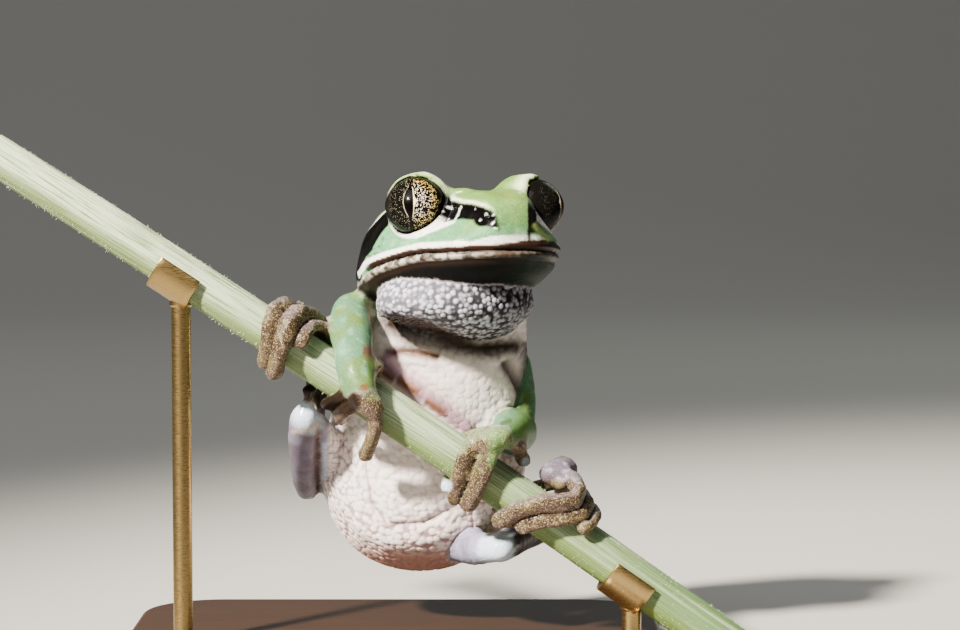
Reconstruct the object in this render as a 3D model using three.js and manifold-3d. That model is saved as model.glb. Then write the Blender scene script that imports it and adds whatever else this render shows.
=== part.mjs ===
// A life-size leaf frog that grips a slanting green stem with all four hands and feet, held over a
// flat base by two short rods. Millimetres, +Z up; the frog looks along -Y and a little to +X.
// The animal is laid out around the stem's middle, and the finished group is then set down so that
// its origin is the middle of its footprint.
import * as THREE from "three";
import { mergeVertices } from "three/addons/utils/BufferGeometryUtils.js";
import Module from "manifold-3d";

const wasm = await Module();
wasm.setup();

// ---- driving dimensions, mm and degrees -------------------------------------------------------

const GAP = 0.3; // free space between touching pieces
const SKIN_GAP = 0.3; // thin cuts that part the body
const FOLD_GAP = 0.5; // the deeper folds where head and limbs leave the body
const DIGIT_LIFT = 0.1; // how far off the stem's clearance a digit rides

const STEM = {
  left: -75, // x of the upper, left end
  right: 40.5, // x of the lower, right end
  height: -24.35, // z of the axis at x = 0
  slope: -0.6864,
  bow: -0.00037, // sag of the axis, per mm
  radiusLeft: 3.1,
  radiusRight: 3.45,
  ribHeight: 0.09,
};

const BASE = { left: -56, right: 29, front: -16, back: 42, thickness: 5, corner: 12, bevel: 0.8 };
const BASE_TOP = -51.2; // z of the base's upper face
const ROD = { radius: 1.5, left: -46, right: 23.5, saddleLength: 7, saddleWall: 1.1, foot: 2.6 };

const HEAD = {
  centre: [-0.7, 4, 16.3], // midway between the eyes
  yaw: 29, // turned towards +X
  pitch: 8, // muzzle raised
  roll: 1.5,
};
const EYE = { side: 10.3, radius: 4.6, forward: 0.2, up: 0.1, outward: 44 }; // looks 44 off the muzzle
const SOCKET = { radius: 5.3, behind: 1.7, up: 0.45 }; // the lids' swelling behind each eye
const THROAT = { centre: [-3.2, 2.6, -14.6], radii: [9.6, 12.9, 5.9] };

const PAD = 1.12; // how much wider a fingertip is than its finger
const WAIST = 0.94; // how much narrower a digit is just before its pad
const CAP = { at: 0.72, width: 0.7 }; // the ring that rounds a limb's end, in shares of its radius

const AROUND = { trunk: 20, head: 22, jaw: 18, limb: 9, digit: 7, stem: 18 };
const STEPS = { trunk: 5, limb: 5, stem: 8, wholeTrunk: 12 };

// ---- small geometry helpers -------------------------------------------------------------------

const vector = (x, y, z) => new THREE.Vector3(x, y, z);
const radians = THREE.MathUtils.degToRad;

/** A smooth function through [at, value] keys, level beyond the first and the last. */
function profile(...keys) {
  const slopeAt = (i) => {
    const before = keys[Math.max(i - 1, 0)];
    const after = keys[Math.min(i + 1, keys.length - 1)];
    return (after[1] - before[1]) / (after[0] - before[0]);
  };
  return (at) => {
    if (at <= keys[0][0]) return keys[0][1];
    const next = keys.findIndex(([key]) => key >= at);
    if (next < 0) return keys[keys.length - 1][1];
    const [from, a] = keys[next - 1];
    const [to, b] = keys[next];
    const span = to - from;
    const t = (at - from) / span;
    const rise = slopeAt(next - 1) * span;
    const fall = slopeAt(next) * span;
    return (
      a * (1 - 3 * t * t + 2 * t * t * t) +
      b * (3 * t * t - 2 * t * t * t) +
      rise * (t - 2 * t * t + t * t * t) +
      fall * (t * t * t - t * t)
    );
  };
}

/** A closed surface over rings of points: a sphere whose rings are moved onto the given ones. */
function skinOver(rings, start, end) {
  const around = rings[0].length;
  const rows = rings.length + 1;
  const sphere = new THREE.SphereGeometry(1, around, rows);
  const position = sphere.getAttribute("position");
  for (let row = 0; row <= rows; row++)
    for (let column = 0; column <= around; column++) {
      const point = row === 0 ? start : row === rows ? end : rings[row - 1][column % around];
      position.setXYZ(row * (around + 1) + column, point.x, point.y, point.z);
    }
  return sphere;
}

/** A manifold-3d solid of a closed geometry, with its faces turned outward. */
function solid(geometry) {
  const bare = geometry.clone();
  bare.deleteAttribute("normal");
  bare.deleteAttribute("uv");
  const merged = mergeVertices(bare, 1e-4);
  const position = merged.getAttribute("position");
  let corners = Uint32Array.from(merged.index.array);
  const keep = [];
  for (let i = 0; i < corners.length; i += 3) {
    const [a, b, c] = corners.slice(i, i + 3);
    if (a !== b && b !== c && c !== a) keep.push(a, b, c);
  }
  corners = Uint32Array.from(keep);
  const make = (triVerts) =>
    new wasm.Manifold(new wasm.Mesh({ numProp: 3, vertProperties: position.array, triVerts }));
  const made = make(corners);
  return made.volume() > 0 ? made : make(corners.reverse());
}

/** The largest single body of a solid, so that a trim leaves no crumbs. */
function largest(body) {
  return body.decompose().reduce((best, one) => (one.volume() > best.volume() ? one : best));
}

/** A body less every one of the cutters. */
function trimmed(body, ...cutters) {
  return largest(cutters.flat().reduce((rest, cutter) => rest.subtract(cutter), body));
}

/** The geometry of a solid. */
function geometryOf(body) {
  const { numProp, vertProperties, triVerts, numVert } = body.getMesh();
  const position = new Float32Array(numVert * 3);
  for (let i = 0; i < numVert; i++)
    position.set(vertProperties.subarray(i * numProp, i * numProp + 3), i * 3);
  const geometry = new THREE.BufferGeometry();
  geometry.setAttribute("position", new THREE.BufferAttribute(position, 3));
  geometry.setIndex(new THREE.BufferAttribute(Uint32Array.from(triVerts), 1));
  geometry.computeVertexNormals();
  return geometry;
}

/**
 * A round-ended tube through stations [x, y, z, radius]: an arm, a leg or a digit.
 * `grow` makes it that much fatter all over, for cutting room in a neighbour.
 */
function limb(stations, { around = AROUND.limb, steps = STEPS.limb, grow = 0 } = {}) {
  const joints = stations.map(([x, y, z]) => vector(x, y, z));
  const path = new THREE.CatmullRomCurve3(joints, false, "centripetal");
  const last = stations.length - 1;
  const radius = profile(...stations.map(([, , , r], i) => [i / last, r]));
  const frames = path.computeFrenetFrames(steps, false);
  const rings = [];
  const ring = (t, frame, outward, scale) => {
    const centre = path.getPoint(t).addScaledVector(frames.tangents[frame], outward);
    const points = [];
    for (let i = 0; i < around; i++) {
      const angle = (2 * Math.PI * i) / around;
      const reach = (radius(t) + grow) * scale;
      points.push(
        centre
          .clone()
          .addScaledVector(frames.normals[frame], reach * Math.cos(angle))
          .addScaledVector(frames.binormals[frame], reach * Math.sin(angle)),
      );
    }
    return points;
  };
  const capStart = radius(0) + grow;
  const capEnd = radius(1) + grow;
  rings.push(ring(0, 0, -capStart * CAP.at, CAP.width));
  for (let i = 0; i <= steps; i++) rings.push(ring(i / steps, i, 0, 1));
  rings.push(ring(1, steps, capEnd * CAP.at, CAP.width));
  const start = path.getPoint(0).addScaledVector(frames.tangents[0], -capStart);
  const end = path.getPoint(1).addScaledVector(frames.tangents[steps], capEnd);
  return solid(skinOver(rings, start, end));
}

/** An ellipsoid with its own axes turned by a matrix. */
function ellipsoid(centre, radii, turn = new THREE.Matrix4(), [across, down] = [12, 8]) {
  const ball = new THREE.SphereGeometry(1, across, down);
  ball.scale(...radii);
  ball.applyMatrix4(turn);
  ball.translate(...centre);
  return solid(ball);
}

// ---- the stem and the places around it ----------------------------------------------------------

const stemHeight = (x) => STEM.height + STEM.slope * x + STEM.bow * x * x;
const stemSlope = (x) => STEM.slope + 2 * STEM.bow * x;
const stemRadius = (x) =>
  THREE.MathUtils.mapLinear(x, STEM.left, STEM.right, STEM.radiusLeft, STEM.radiusRight);

/** The stem's axis point and its up-facing normal at x. */
function stemFrame(x) {
  const along = vector(1, 0, stemSlope(x)).normalize();
  return { centre: vector(x, 0, stemHeight(x)), along, up: vector(-along.z, 0, along.x) };
}

/** A point around the stem: angle 0 is its top, 90 its front, 180 its underside, -90 its back. */
function aroundStem(x, angle, reach) {
  const { centre, up } = stemFrame(x);
  return centre
    .addScaledVector(up, reach * Math.cos(radians(angle)))
    .add(vector(0, -reach * Math.sin(radians(angle)), 0));
}

/** The stem with its low ribs, or with `grow` a smooth round room that clears it. */
function stemSolid(grow = 0) {
  const rings = [];
  for (let i = 0; i <= STEPS.stem; i++) {
    const x = THREE.MathUtils.lerp(STEM.left, STEM.right, i / STEPS.stem);
    const ring = [];
    for (let j = 0; j < AROUND.stem; j++) {
      const rib = grow > 0 || j % 2 ? STEM.ribHeight : -STEM.ribHeight;
      ring.push(aroundStem(x, (360 * j) / AROUND.stem, stemRadius(x) + grow + rib));
    }
    rings.push(ring);
  }
  return solid(skinOver(rings, stemFrame(STEM.left).centre, stemFrame(STEM.right).centre));
}

const stem = stemSolid();
const stemRoom = stemSolid(GAP);

// ---- the head -----------------------------------------------------------------------------------

// The head's own frame: forward along the muzzle, right is the frog's right, up through the crown.
const headTurn = new THREE.Matrix4()
  .makeRotationZ(radians(HEAD.yaw))
  .multiply(new THREE.Matrix4().makeRotationX(radians(-HEAD.pitch)))
  .multiply(new THREE.Matrix4().makeRotationY(radians(HEAD.roll)))
  .multiply(new THREE.Matrix4().makeBasis(vector(0, -1, 0), vector(-1, 0, 0), vector(0, 0, 1)));

/** A point of the head, given forward, right and up of the middle between the eyes. */
function headPoint(forward, right, up) {
  return vector(forward, right, up).applyMatrix4(headTurn).add(vector(...HEAD.centre));
}

// Profiles from the muzzle (forward 13) to the nape (-16).
const lipHalfWidth = profile(
  ...[[-20, 5.5], [-18.4, 10], [-16, 13], [-12, 14.9], [-8, 15.7], [-4, 15.1], [0, 13.9]],
  ...[[4, 12.4], [8, 9.8], [11, 6.9], [12.6, 4]],
);
const lipHeight = profile(
  ...[[-16, -10.6], [-12, -10.2], [-8, -9.2], [-4, -8.3], [2, -7.5], [8, -7.2], [12.6, -6.6]],
);
const crestHalfWidth = profile(
  ...[[-20, 3.4], [-18.4, 6.4], [-16, 9], [-12, 10.8], [-8, 11], [-4, 9.4], [0, 7.4]],
  ...[[3, 6.5], [6, 5.4], [9, 4.5], [11.5, 3.4], [12.6, 2.2]],
);
const crestHeight = profile(
  ...[[-20, -8.4], [-18.4, -5.6], [-16, -2.8], [-12, 0], [-8, 1.2], [-4, 2.3], [0, 2.7]],
  ...[[6, 1.7], [9, 1], [12.6, -0.8]],
);
const crownHeight = profile(
  ...[[-20, -7.2], [-18.4, -3.8], [-16, -0.6], [-12, 2], [-8, 2.9], [-4, 2.9], [0, 2.6]],
  ...[[6, 1.9], [9, 1.3], [12.6, -0.4]],
);
const cheekHalfWidth = profile(
  ...[[-20, 4.6], [-18.4, 8.6], [-16, 11.8], [-12, 14], [-8, 14.7], [-4, 13.6], [0, 11.8]],
  ...[[4, 9.6], [8, 7], [11, 5], [12.6, 3.2]],
);
const jawDepth = profile(
  ...[[-16, -13.5], [-12, -14.2], [-8, -13.8], [-4, -13.3], [0, -12.8], [5, -12], [9, -11.2]],
  [12.4, -9.4],
);

/** One cross-section of the head through corners [right, up], rounded into a closed curve. */
function headRing(forward, corners, around) {
  const left = corners
    .slice(1, -1)
    .reverse()
    .map(([right, up]) => [-right, up]);
  const outline = new THREE.CatmullRomCurve3(
    [...corners, ...left].map(([right, up]) => vector(right, up, 0)),
    true,
    "centripetal",
  );
  return outline.getPoints(around).slice(0, around).map(({ x, y }) => headPoint(forward, x, y));
}

const headStations = [12.7, 12.2, 11.2, 9.4, 7.2, 5, 2.5, 0, -3, -6, -10, -14, -16.8, -19];
const jawStations = headStations.filter((forward) => forward > -16);

/** The upper head: muzzle, loreal slope and crown, down to the mouth line. */
function upperHead(grow = 0) {
  const rings = headStations.map((forward) => {
    const lip = lipHalfWidth(forward) + grow;
    const crest = crestHalfWidth(forward) + grow;
    const floor = lipHeight(forward) - grow;
    const side = crestHeight(forward) + grow;
    const corners = [
      [0, crownHeight(forward) + grow],
      [crest * 0.6, (crownHeight(forward) + crestHeight(forward)) / 2 + 0.15 + grow],
      [crest, side],
      [cheekHalfWidth(forward) + grow, side * 0.5 + floor * 0.5],
      [lip * 0.98, floor + 1.6],
      [lip, floor + 0.55],
      [lip * 0.93, floor],
      [lip * 0.5, floor],
      [0, floor],
    ];
    return headRing(forward, corners, AROUND.head);
  });
  return solid(skinOver(rings, headPoint(13.1 + grow, 0, -4), headPoint(-20.4 - grow, 0, -8.6)));
}

/** The lower jaw, from the mouth line to the chin's underside. */
function lowerJaw(grow = 0) {
  const rings = jawStations.map((station, i) => {
    const forward = i === jawStations.length - 1 ? station - grow : station;
    const lip = lipHalfWidth(forward) - 0.4 + grow;
    const roof = lipHeight(forward) - SKIN_GAP + grow;
    const floor = jawDepth(forward) - grow;
    const corners = [
      [0, roof],
      [lip * 0.5, roof],
      [lip * 0.92, roof],
      [lip, roof - 0.6],
      [lip * 0.97, roof - 1.7],
      [lip * 0.8, floor * 0.75 + roof * 0.25],
      [lip * 0.45, floor],
      [0, floor],
    ];
    return headRing(forward, corners, AROUND.jaw);
  });
  return solid(skinOver(rings, headPoint(12.9 + grow, 0, -8.4), headPoint(-15.4 - grow, 0, -11.8)));
}

function throatPouch(grow = 0) {
  return ellipsoid(
    headPoint(...THROAT.centre).toArray(),
    THROAT.radii.map((radius) => radius + grow),
    headTurn,
    [18, 11],
  );
}

/** A point on the line of sight of an eye, so far ahead of its middle. */
function eyePoint(side, ahead, up = 0) {
  const turn = radians(EYE.outward);
  const right = side * (EYE.side + ahead * Math.sin(turn));
  return headPoint(EYE.forward + ahead * Math.cos(turn), right, EYE.up + up);
}

function eyeball(side, grow = 0) {
  return ellipsoid(eyePoint(side, 0).toArray(), Array(3).fill(EYE.radius + grow), headTurn, [14, 10]);
}

/** The swelling of brow and lids that an eye sits in. */
function socket(side, grow = 0) {
  const centre = eyePoint(side, -SOCKET.behind, SOCKET.up).toArray();
  return ellipsoid(centre, Array(3).fill(SOCKET.radius + grow), headTurn);
}

// ---- the trunk ----------------------------------------------------------------------------------

// The backbone's line from the nape to the vent, with the body's half-width and its reach to the
// belly side and to the back side.
const TRUNK = [
  { at: [-5.8, 13.5, 5], half: 12.2, belly: 9.5, back: 10 },
  { at: [-5.6, 13.8, -2.5], half: 13, belly: 9.9, back: 11.6 },
  { at: [-6.4, 15.3, -9], half: 13.7, belly: 11.2, back: 12.4 },
  { at: [-7.7, 17.5, -16.2], half: 15.0, belly: 12.8, back: 12.6 },
  { at: [-8.6, 19.5, -21.8], half: 16.2, belly: 14.6, back: 12.8 },
  { at: [-9.4, 22, -27.2], half: 16.2, belly: 16.0, back: 12.2 },
  { at: [-10.1, 25, -31.6], half: 15.0, belly: 14.8, back: 11.0 },
  { at: [-10.4, 28, -34.8], half: 12.2, belly: 11.2, back: 9.2 },
  { at: [-10.5, 30, -37], half: 6.4, belly: 5.4, back: 4.6 },
];
const backbone = TRUNK.map(({ at }) => vector(...at));
const trunkLine = new THREE.CatmullRomCurve3(backbone, false, "centripetal");
const trunkShare = (key) =>
  profile(...TRUNK.map((station, i) => [i / (TRUNK.length - 1), station[key]]));
const trunkHalf = trunkShare("half");
const trunkBelly = trunkShare("belly");
const trunkBack = trunkShare("back");

/** A length of the trunk between two shares of the backbone's line, 0 to 1. */
function trunkPart(from, to, { grow = 0, steps = STEPS.trunk } = {}) {
  const rings = [];
  for (let i = 0; i <= steps; i++) {
    const t = THREE.MathUtils.lerp(from, to, i / steps);
    const centre = trunkLine.getPoint(t);
    const down = trunkLine.getTangent(t);
    const side = vector(1, 0, 0).addScaledVector(down, -down.x).normalize();
    const front = side.clone().cross(down).normalize();
    if (front.y > 0) front.negate();
    const ring = [];
    for (let j = 0; j < AROUND.trunk; j++) {
      const angle = (2 * Math.PI * j) / AROUND.trunk;
      const forward = Math.cos(angle);
      const depth = forward > 0 ? trunkBelly(t) : trunkBack(t);
      ring.push(
        centre
          .clone()
          .addScaledVector(side, (trunkHalf(t) + grow) * Math.sin(angle))
          .addScaledVector(front, (depth + grow) * forward),
      );
    }
    rings.push(ring);
  }
  return solid(skinOver(rings, trunkLine.getPoint(from), trunkLine.getPoint(to)));
}

// ---- arms and legs ------------------------------------------------------------------------------

// Joints of each limb, [x, y, z, radius].
const ARM = {
  right: {
    upper: [[-13.6, 16, -6.2, 3.5], [-17.6, 12.4, -1.4, 3.3], [-20.2, 7.8, 0.3, 3.0]],
    fore: [
      ...[[-20.4, 7.2, 0.2, 3.0], [-20.0, 2.2, -2.8, 3.6]],
      ...[[-19.4, -3.0, -7.4, 3.3], [-17.9, -5.9, -11.4, 2.5]],
    ],
    palm: [[-17.8, -6.1, -12.2, 2.2], [-16.4, -6.1, -13.6, 2.1]],
  },
  left: {
    upper: [[4.6, 16.5, -8.5, 3.8], [5.6, 15.2, -14.5, 3.6], [5.6, 12.8, -19.4, 3.3]],
    fore: [
      ...[[5.6, 12.2, -19.8, 3.3], [5.7, 7.4, -18.8, 3.6]],
      ...[[4.6, 0.8, -18.0, 2.9], [3.2, -3.4, -18.4, 2.2]],
    ],
    palm: [[3.0, -4.2, -18.6, 2.0], [1.5, -5.1, -19.1, 2.0]],
  },
};

const LEG = {
  right: {
    thigh: [
      ...[[-15, 31, -31.2, 5], [-22, 23.4, -27.2, 4.4]],
      ...[[-24.2, 13.6, -22.4, 3.2], [-26.2, 5.6, -17.4, 2.5]],
    ],
    shank: [
      ...[[-27.2, 3.4, -16.2, 2.75], [-27.9, 9.5, -21.6, 2.5]],
      ...[[-28.4, 17.5, -27.2, 2.1], [-28.3, 23.2, -30.4, 1.75]],
    ],
    tarsus: [[-27.9, 23.6, -30.2, 1.75], [-27.0, 17.2, -22.8, 1.6], [-25.8, 10.6, -14.4, 1.7]],
    foot: [[-25.7, 9.9, -13.6, 1.8], [-25.6, 6.9, -8, 1.8], [-25.7, 3.9, -3.6, 1.6]],
  },
  left: {
    thigh: [[-5.2, 31, -32.4, 5], [-5, 22.4, -36, 4.4], [-2, 11.5, -37.7, 3.1], [2.1, 4.8, -37, 2.5]],
    shank: [
      ...[[3.2, 3.6, -36.8, 2.65], [5.8, 11, -36.4, 2.5]],
      ...[[9.2, 20, -36.8, 2.1], [11.6, 27.6, -37.2, 1.75]],
    ],
    tarsus: [[12.2, 28.4, -36.6, 1.75], [13.4, 20.6, -32.6, 1.6], [13.2, 12.2, -28.4, 1.7]],
    foot: [
      ...[[13.0, 11.4, -27.6, 1.9], [12.9, 6.8, -25.3, 2.2]],
      ...[[12.9, 3.0, -24.3, 2.3], [10.9, 1.4, -24.7, 1.9]],
    ],
  },
};

// How each digit lies on the stem: places [x along the stem, angle around it, height off its surface].
const FINGERS = {
  right: [
    { radius: 1.1, places: [[-18.6, 62, 1], [-18.6, 16, 0.5], [-18.2, -36, 0.2], [-17.8, -84, 0.1]] },
    {
      radius: 1.25,
      places: [[-16.6, 72, 1], [-15.2, 96, 1], [-14.3, 120, 1.1], [-13.6, 158, 1.7], [-13.4, 174, 2.5]],
    },
    { radius: 1.2, places: [[-17.8, 94, 1], [-18.4, 118, 0.5], [-18.8, 146, 0.2], [-18.6, 182, 0.1]] },
    { radius: 0.9, places: [[-18.4, 86, 1.1], [-19.8, 102, 0.5], [-20.9, 130, 0.2], [-21.2, 158, 0.1]] },
  ],
  left: [
    {
      radius: 1.05,
      places: [[-0.2, 18, 2.4], [-2.4, -20, 1], [-4, -70, 0.1], [-3, -122, 0.1], [-2.4, -168, 0.1]],
    },
    {
      radius: 1.25,
      places: [
        ...[[-0.6, 32, 2.4], [-2.8, 26, 1.3], [-3.4, 56, 0.5]],
        ...[[-2.6, 96, 0.1], [-1.8, 137, 0.1], [-0.9, 168, 0.4]],
      ],
    },
    {
      radius: 1.4,
      places: [[0.6, 40, 2.5], [-0.6, 46, 1.6], [0, 72, 0.4], [0.6, 108, 0.1], [1, 150, 0.1]],
    },
    { radius: 1.25, places: [[1.6, 14, 2.3], [2.7, -9, 1.4], [3.3, -19, 0.9], [3.8, -27, 0.7]] },
  ],
};

const TOES = {
  right: [
    { radius: 1.05, places: [[-24.8, -64, 0.5], [-23.8, -100, 0.2], [-23.6, -135, 0.2], [-24, -160, 0.2]] },
    { radius: 0.95, places: [[-26, -30, 0.6], [-27.6, 10, 0.6], [-28.2, 44, 0.7], [-28, 70, 0.3]] },
    {
      radius: 1.5,
      places: [
        ...[[-26.6, -42, 0.3], [-29.4, 0, 0.6], [-31, 40, 0.7]],
        ...[[-30.4, 78, 0.2], [-29.6, 112, 0.1], [-29, 144, 0.1]],
      ],
    },
    {
      radius: 1.2,
      places: [
        ...[[-27.8, -56, 0.4], [-31.6, -18, 0.4], [-33.4, 22, 0.2]],
        ...[[-33.2, 66, 0.1], [-31.8, 104, 0.1], [-30.8, 142, 0.1]],
      ],
    },
    { radius: 0.95, places: [[-26.8, -76, 0.6], [-29.2, -66, 0.6], [-30.6, -46, 1.1], [-31, -30, 1.6]] },
  ],
  left: [
    {
      radius: 1.25,
      places: [[9.4, 0, 0.8], [8.6, -26, 0.5], [7.6, -58, 0.3], [5.8, -92, 0.2], [5, -130, 0.2]],
    },
    {
      radius: 1.45,
      places: [[10, 4, 2.2], [11.4, 24, 2], [11.4, 46, 1.6], [9, 60, 0.8], [6.6, 90, 0.1], [5.4, 136, 0.1]],
    },
    {
      radius: 1.1,
      places: [[12, -16, 1.7], [13.6, 22, 1.1], [13, 56, 0.6], [10.4, 86, 0.1], [8.2, 124, 0.1]],
    },
    { radius: 1.0, places: [[13, -40, 1.4], [15, -6, 0.5], [15.2, 30, 0.2], [14.6, 62, 0.1]] },
    { radius: 1.0, places: [[12.8, -74, 1.2], [13.2, -104, 0.2], [12.6, -138, 0.1], [11.8, -165, 0.1]] },
  ],
};

/** A digit's stations, with the pad a little wider than the finger that carries it. */
function digitStations({ radius, places }) {
  const last = places.length - 1;
  return places.map(([x, angle, lift], i) => {
    const share = i === last ? PAD : i === last - 1 ? WAIST : 1;
    const width = radius * share;
    const reach = stemRadius(x) + GAP + DIGIT_LIFT + width + lift;
    return [...aroundStem(x, angle, reach).toArray(), width];
  });
}

const digit = (spec, grow = 0) =>
  limb(digitStations(spec), { around: AROUND.digit, steps: spec.places.length, grow });

// ---- the stand ----------------------------------------------------------------------------------

function standBase() {
  const { left, right, front, back, thickness, corner, bevel } = BASE;
  const outline = new THREE.Shape();
  const [x0, x1, y0, y1] = [left + bevel, right - bevel, front + bevel, back - bevel];
  outline.moveTo(x0 + corner, y0);
  outline.lineTo(x1 - corner, y0);
  outline.absarc(x1 - corner, y0 + corner, corner, -Math.PI / 2, 0, false);
  outline.absarc(x1 - corner, y1 - corner, corner, 0, Math.PI / 2, false);
  outline.absarc(x0 + corner, y1 - corner, corner, Math.PI / 2, Math.PI, false);
  outline.absarc(x0 + corner, y0 + corner, corner, Math.PI, 1.5 * Math.PI, false);
  const plate = new THREE.ExtrudeGeometry(outline, {
    depth: thickness - 2 * bevel,
    bevelThickness: bevel,
    bevelSize: bevel,
    bevelSegments: 1,
    curveSegments: 4,
  });
  plate.translate(0, 0, BASE_TOP - thickness + bevel);
  return solid(plate);
}

/** A rod on a small foot, with an open saddle at its top that carries the stem. */
function standRod(x) {
  const bottom = BASE_TOP + GAP;
  const top = stemHeight(x);
  const outer = ROD.radius;
  const turned = [
    [0, bottom],
    [ROD.foot, bottom],
    [ROD.foot, bottom + 0.7],
    [outer, bottom + 1.4],
    [outer, top - 1],
    [0, top - 1],
  ].map(([r, z]) => new THREE.Vector2(r, z));
  const rod = new THREE.LatheGeometry(turned, 12);
  rod.rotateX(Math.PI / 2);
  rod.translate(x, 0, 0);
  const { centre, along } = stemFrame(x);
  const sleeve = new THREE.CylinderGeometry(1, 1, ROD.saddleLength, 18);
  const wall = stemRadius(x) + GAP + ROD.saddleWall;
  sleeve.scale(wall, 1, wall);
  sleeve.applyQuaternion(new THREE.Quaternion().setFromUnitVectors(vector(0, 1, 0), along));
  sleeve.translate(...centre.toArray());
  const lid = new THREE.BoxGeometry(40, 40, 40);
  lid.applyQuaternion(new THREE.Quaternion().setFromUnitVectors(vector(1, 0, 0), along));
  const above = centre.clone().addScaledVector(stemFrame(x).up, 20 - stemRadius(x) * 0.35);
  lid.translate(...above.toArray());
  return trimmed(solid(rod).add(solid(sleeve)), solid(lid), stemRoom);
}

// ---- the finished pieces --------------------------------------------------------------------------

const COLOURS = {
  green: { color: 0x7fae6a, roughness: 0.42, metalness: 0 },
  belly: { color: 0xece0dc, roughness: 0.5, metalness: 0 },
  throat: { color: 0x9a9aa6, roughness: 0.5, metalness: 0 },
  limb: { color: 0x8e8796, roughness: 0.45, metalness: 0 },
  digit: { color: 0x7a6654, roughness: 0.4, metalness: 0 },
  eye: { color: 0x2c2314, roughness: 0.08, metalness: 0 },
  stem: { color: 0x9ab483, roughness: 0.6, metalness: 0 },
  base: { color: 0x2b2320, roughness: 0.45, metalness: 0 },
  rod: { color: 0xb08d57, roughness: 0.3, metalness: 1 },
};

const model = new THREE.Group();

/** Adds one named piece to the model. */
function add(name, body, colour) {
  const mesh = new THREE.Mesh(geometryOf(body), new THREE.MeshStandardMaterial(COLOURS[colour]));
  mesh.name = name;
  model.add(mesh);
}

const SIDES = { right: 1, left: -1 };

// Head: the eyes sit in sockets cut in the head, under the brows.
const eyeRooms = Object.values(SIDES).map((side) => eyeball(side, GAP));
const throatRoom = throatPouch(SKIN_GAP);
const jawRoom = lowerJaw(FOLD_GAP);
const wholeHead = Object.values(SIDES).reduce((head, side) => head.add(socket(side)), upperHead());
const head = trimmed(wholeHead, eyeRooms);
const headRoom = upperHead(FOLD_GAP);
add("head", head, "green");
const jaw = trimmed(lowerJaw(), throatRoom);
add("lower_jaw", jaw, "throat");
add("throat", throatPouch(), "throat");
for (const [name, side] of Object.entries(SIDES)) add(`eye_${name}`, eyeball(side), "eye");

// Trunk: four lengths, with room for the throat and jaw above.
const CUTS = { neck: [0.0, 0.16], chest: [0.17, 0.44], belly: [0.45, 0.72], pelvis: [0.73, 1.0] };
const headParts = [headRoom, jawRoom, throatRoom];
for (const [name, [from, to]] of Object.entries(CUTS)) {
  const clear = name === "neck" || name === "chest" ? headParts : [];
  add(name, trimmed(trunkPart(from, to), clear, stemRoom), name === "neck" ? "green" : "belly");
}
const trunkRoom = trunkPart(0, 1, { grow: FOLD_GAP, steps: STEPS.wholeTrunk });
const bodyRoom = [trunkRoom, ...headParts];

for (const name of Object.keys(SIDES)) {
  const { upper, fore, palm } = ARM[name];
  const foreRoom = limb(fore, { grow: SKIN_GAP });
  const palmRoom = limb(palm, { grow: SKIN_GAP });
  add(`upper_arm_${name}`, trimmed(limb(upper), bodyRoom, jaw, foreRoom), "green");
  add(`forearm_${name}`, trimmed(limb(fore), bodyRoom, palmRoom, stemRoom), "green");
  add(`hand_${name}`, trimmed(limb(palm), bodyRoom, stemRoom), "digit");
  const fingerRooms = [];
  FINGERS[name].forEach((spec, i) => {
    const rooms = [bodyRoom, palmRoom, foreRoom, stemRoom, fingerRooms];
    add(`finger_${name}_${i + 1}`, trimmed(digit(spec), ...rooms), "digit");
    fingerRooms.push(digit(spec, SKIN_GAP));
  });

  const { thigh, shank, tarsus, foot } = LEG[name];
  const shankRoom = limb(shank, { grow: SKIN_GAP });
  const tarsusRoom = limb(tarsus, { grow: SKIN_GAP });
  const footRoom = limb(foot, { grow: SKIN_GAP });
  add(`thigh_${name}`, trimmed(limb(thigh), bodyRoom, shankRoom, tarsusRoom), "limb");
  add(`shank_${name}`, trimmed(limb(shank), bodyRoom, tarsusRoom), "limb");
  add(`tarsus_${name}`, trimmed(limb(tarsus), bodyRoom, footRoom, stemRoom), "limb");
  add(`foot_${name}`, trimmed(limb(foot), bodyRoom, foreRoom, stemRoom), "digit");
  const toeRooms = [];
  TOES[name].forEach((spec, i) => {
    const rooms = [bodyRoom, footRoom, tarsusRoom, foreRoom, stemRoom, toeRooms];
    add(`toe_${name}_${i + 1}`, trimmed(digit(spec), ...rooms), "digit");
    toeRooms.push(digit(spec, SKIN_GAP));
  });
}

add("perch_stem", stem, "stem");
add("stand_base", standBase(), "base");
add("stand_rod_left", standRod(ROD.left), "rod");
add("stand_rod_right", standRod(ROD.right), "rod");

// Set the model down with its origin in the middle of its footprint.
const box = new THREE.Box3().setFromObject(model);
const middle = box.getCenter(vector(0, 0, 0));
model.position.set(-middle.x, -middle.y, -box.min.z);

export default model;
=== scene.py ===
"""The looks of a life-size leaf frog that grips a slanting stem above a small display stand.

The frame is in metres, +Z up. Shapes are worked out in millimetres in the layout frame: its origin
is the middle of the stem, +X runs towards the stem's lower end and -Y is the front.
"""

import sys

import logging
import math
import time
from collections.abc import Callable
from dataclasses import dataclass, field
from enum import Enum

import bpy
import numpy as np
from mathutils import Matrix, Vector
from mathutils.bvhtree import BVHTree
from mathutils.kdtree import KDTree

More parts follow.
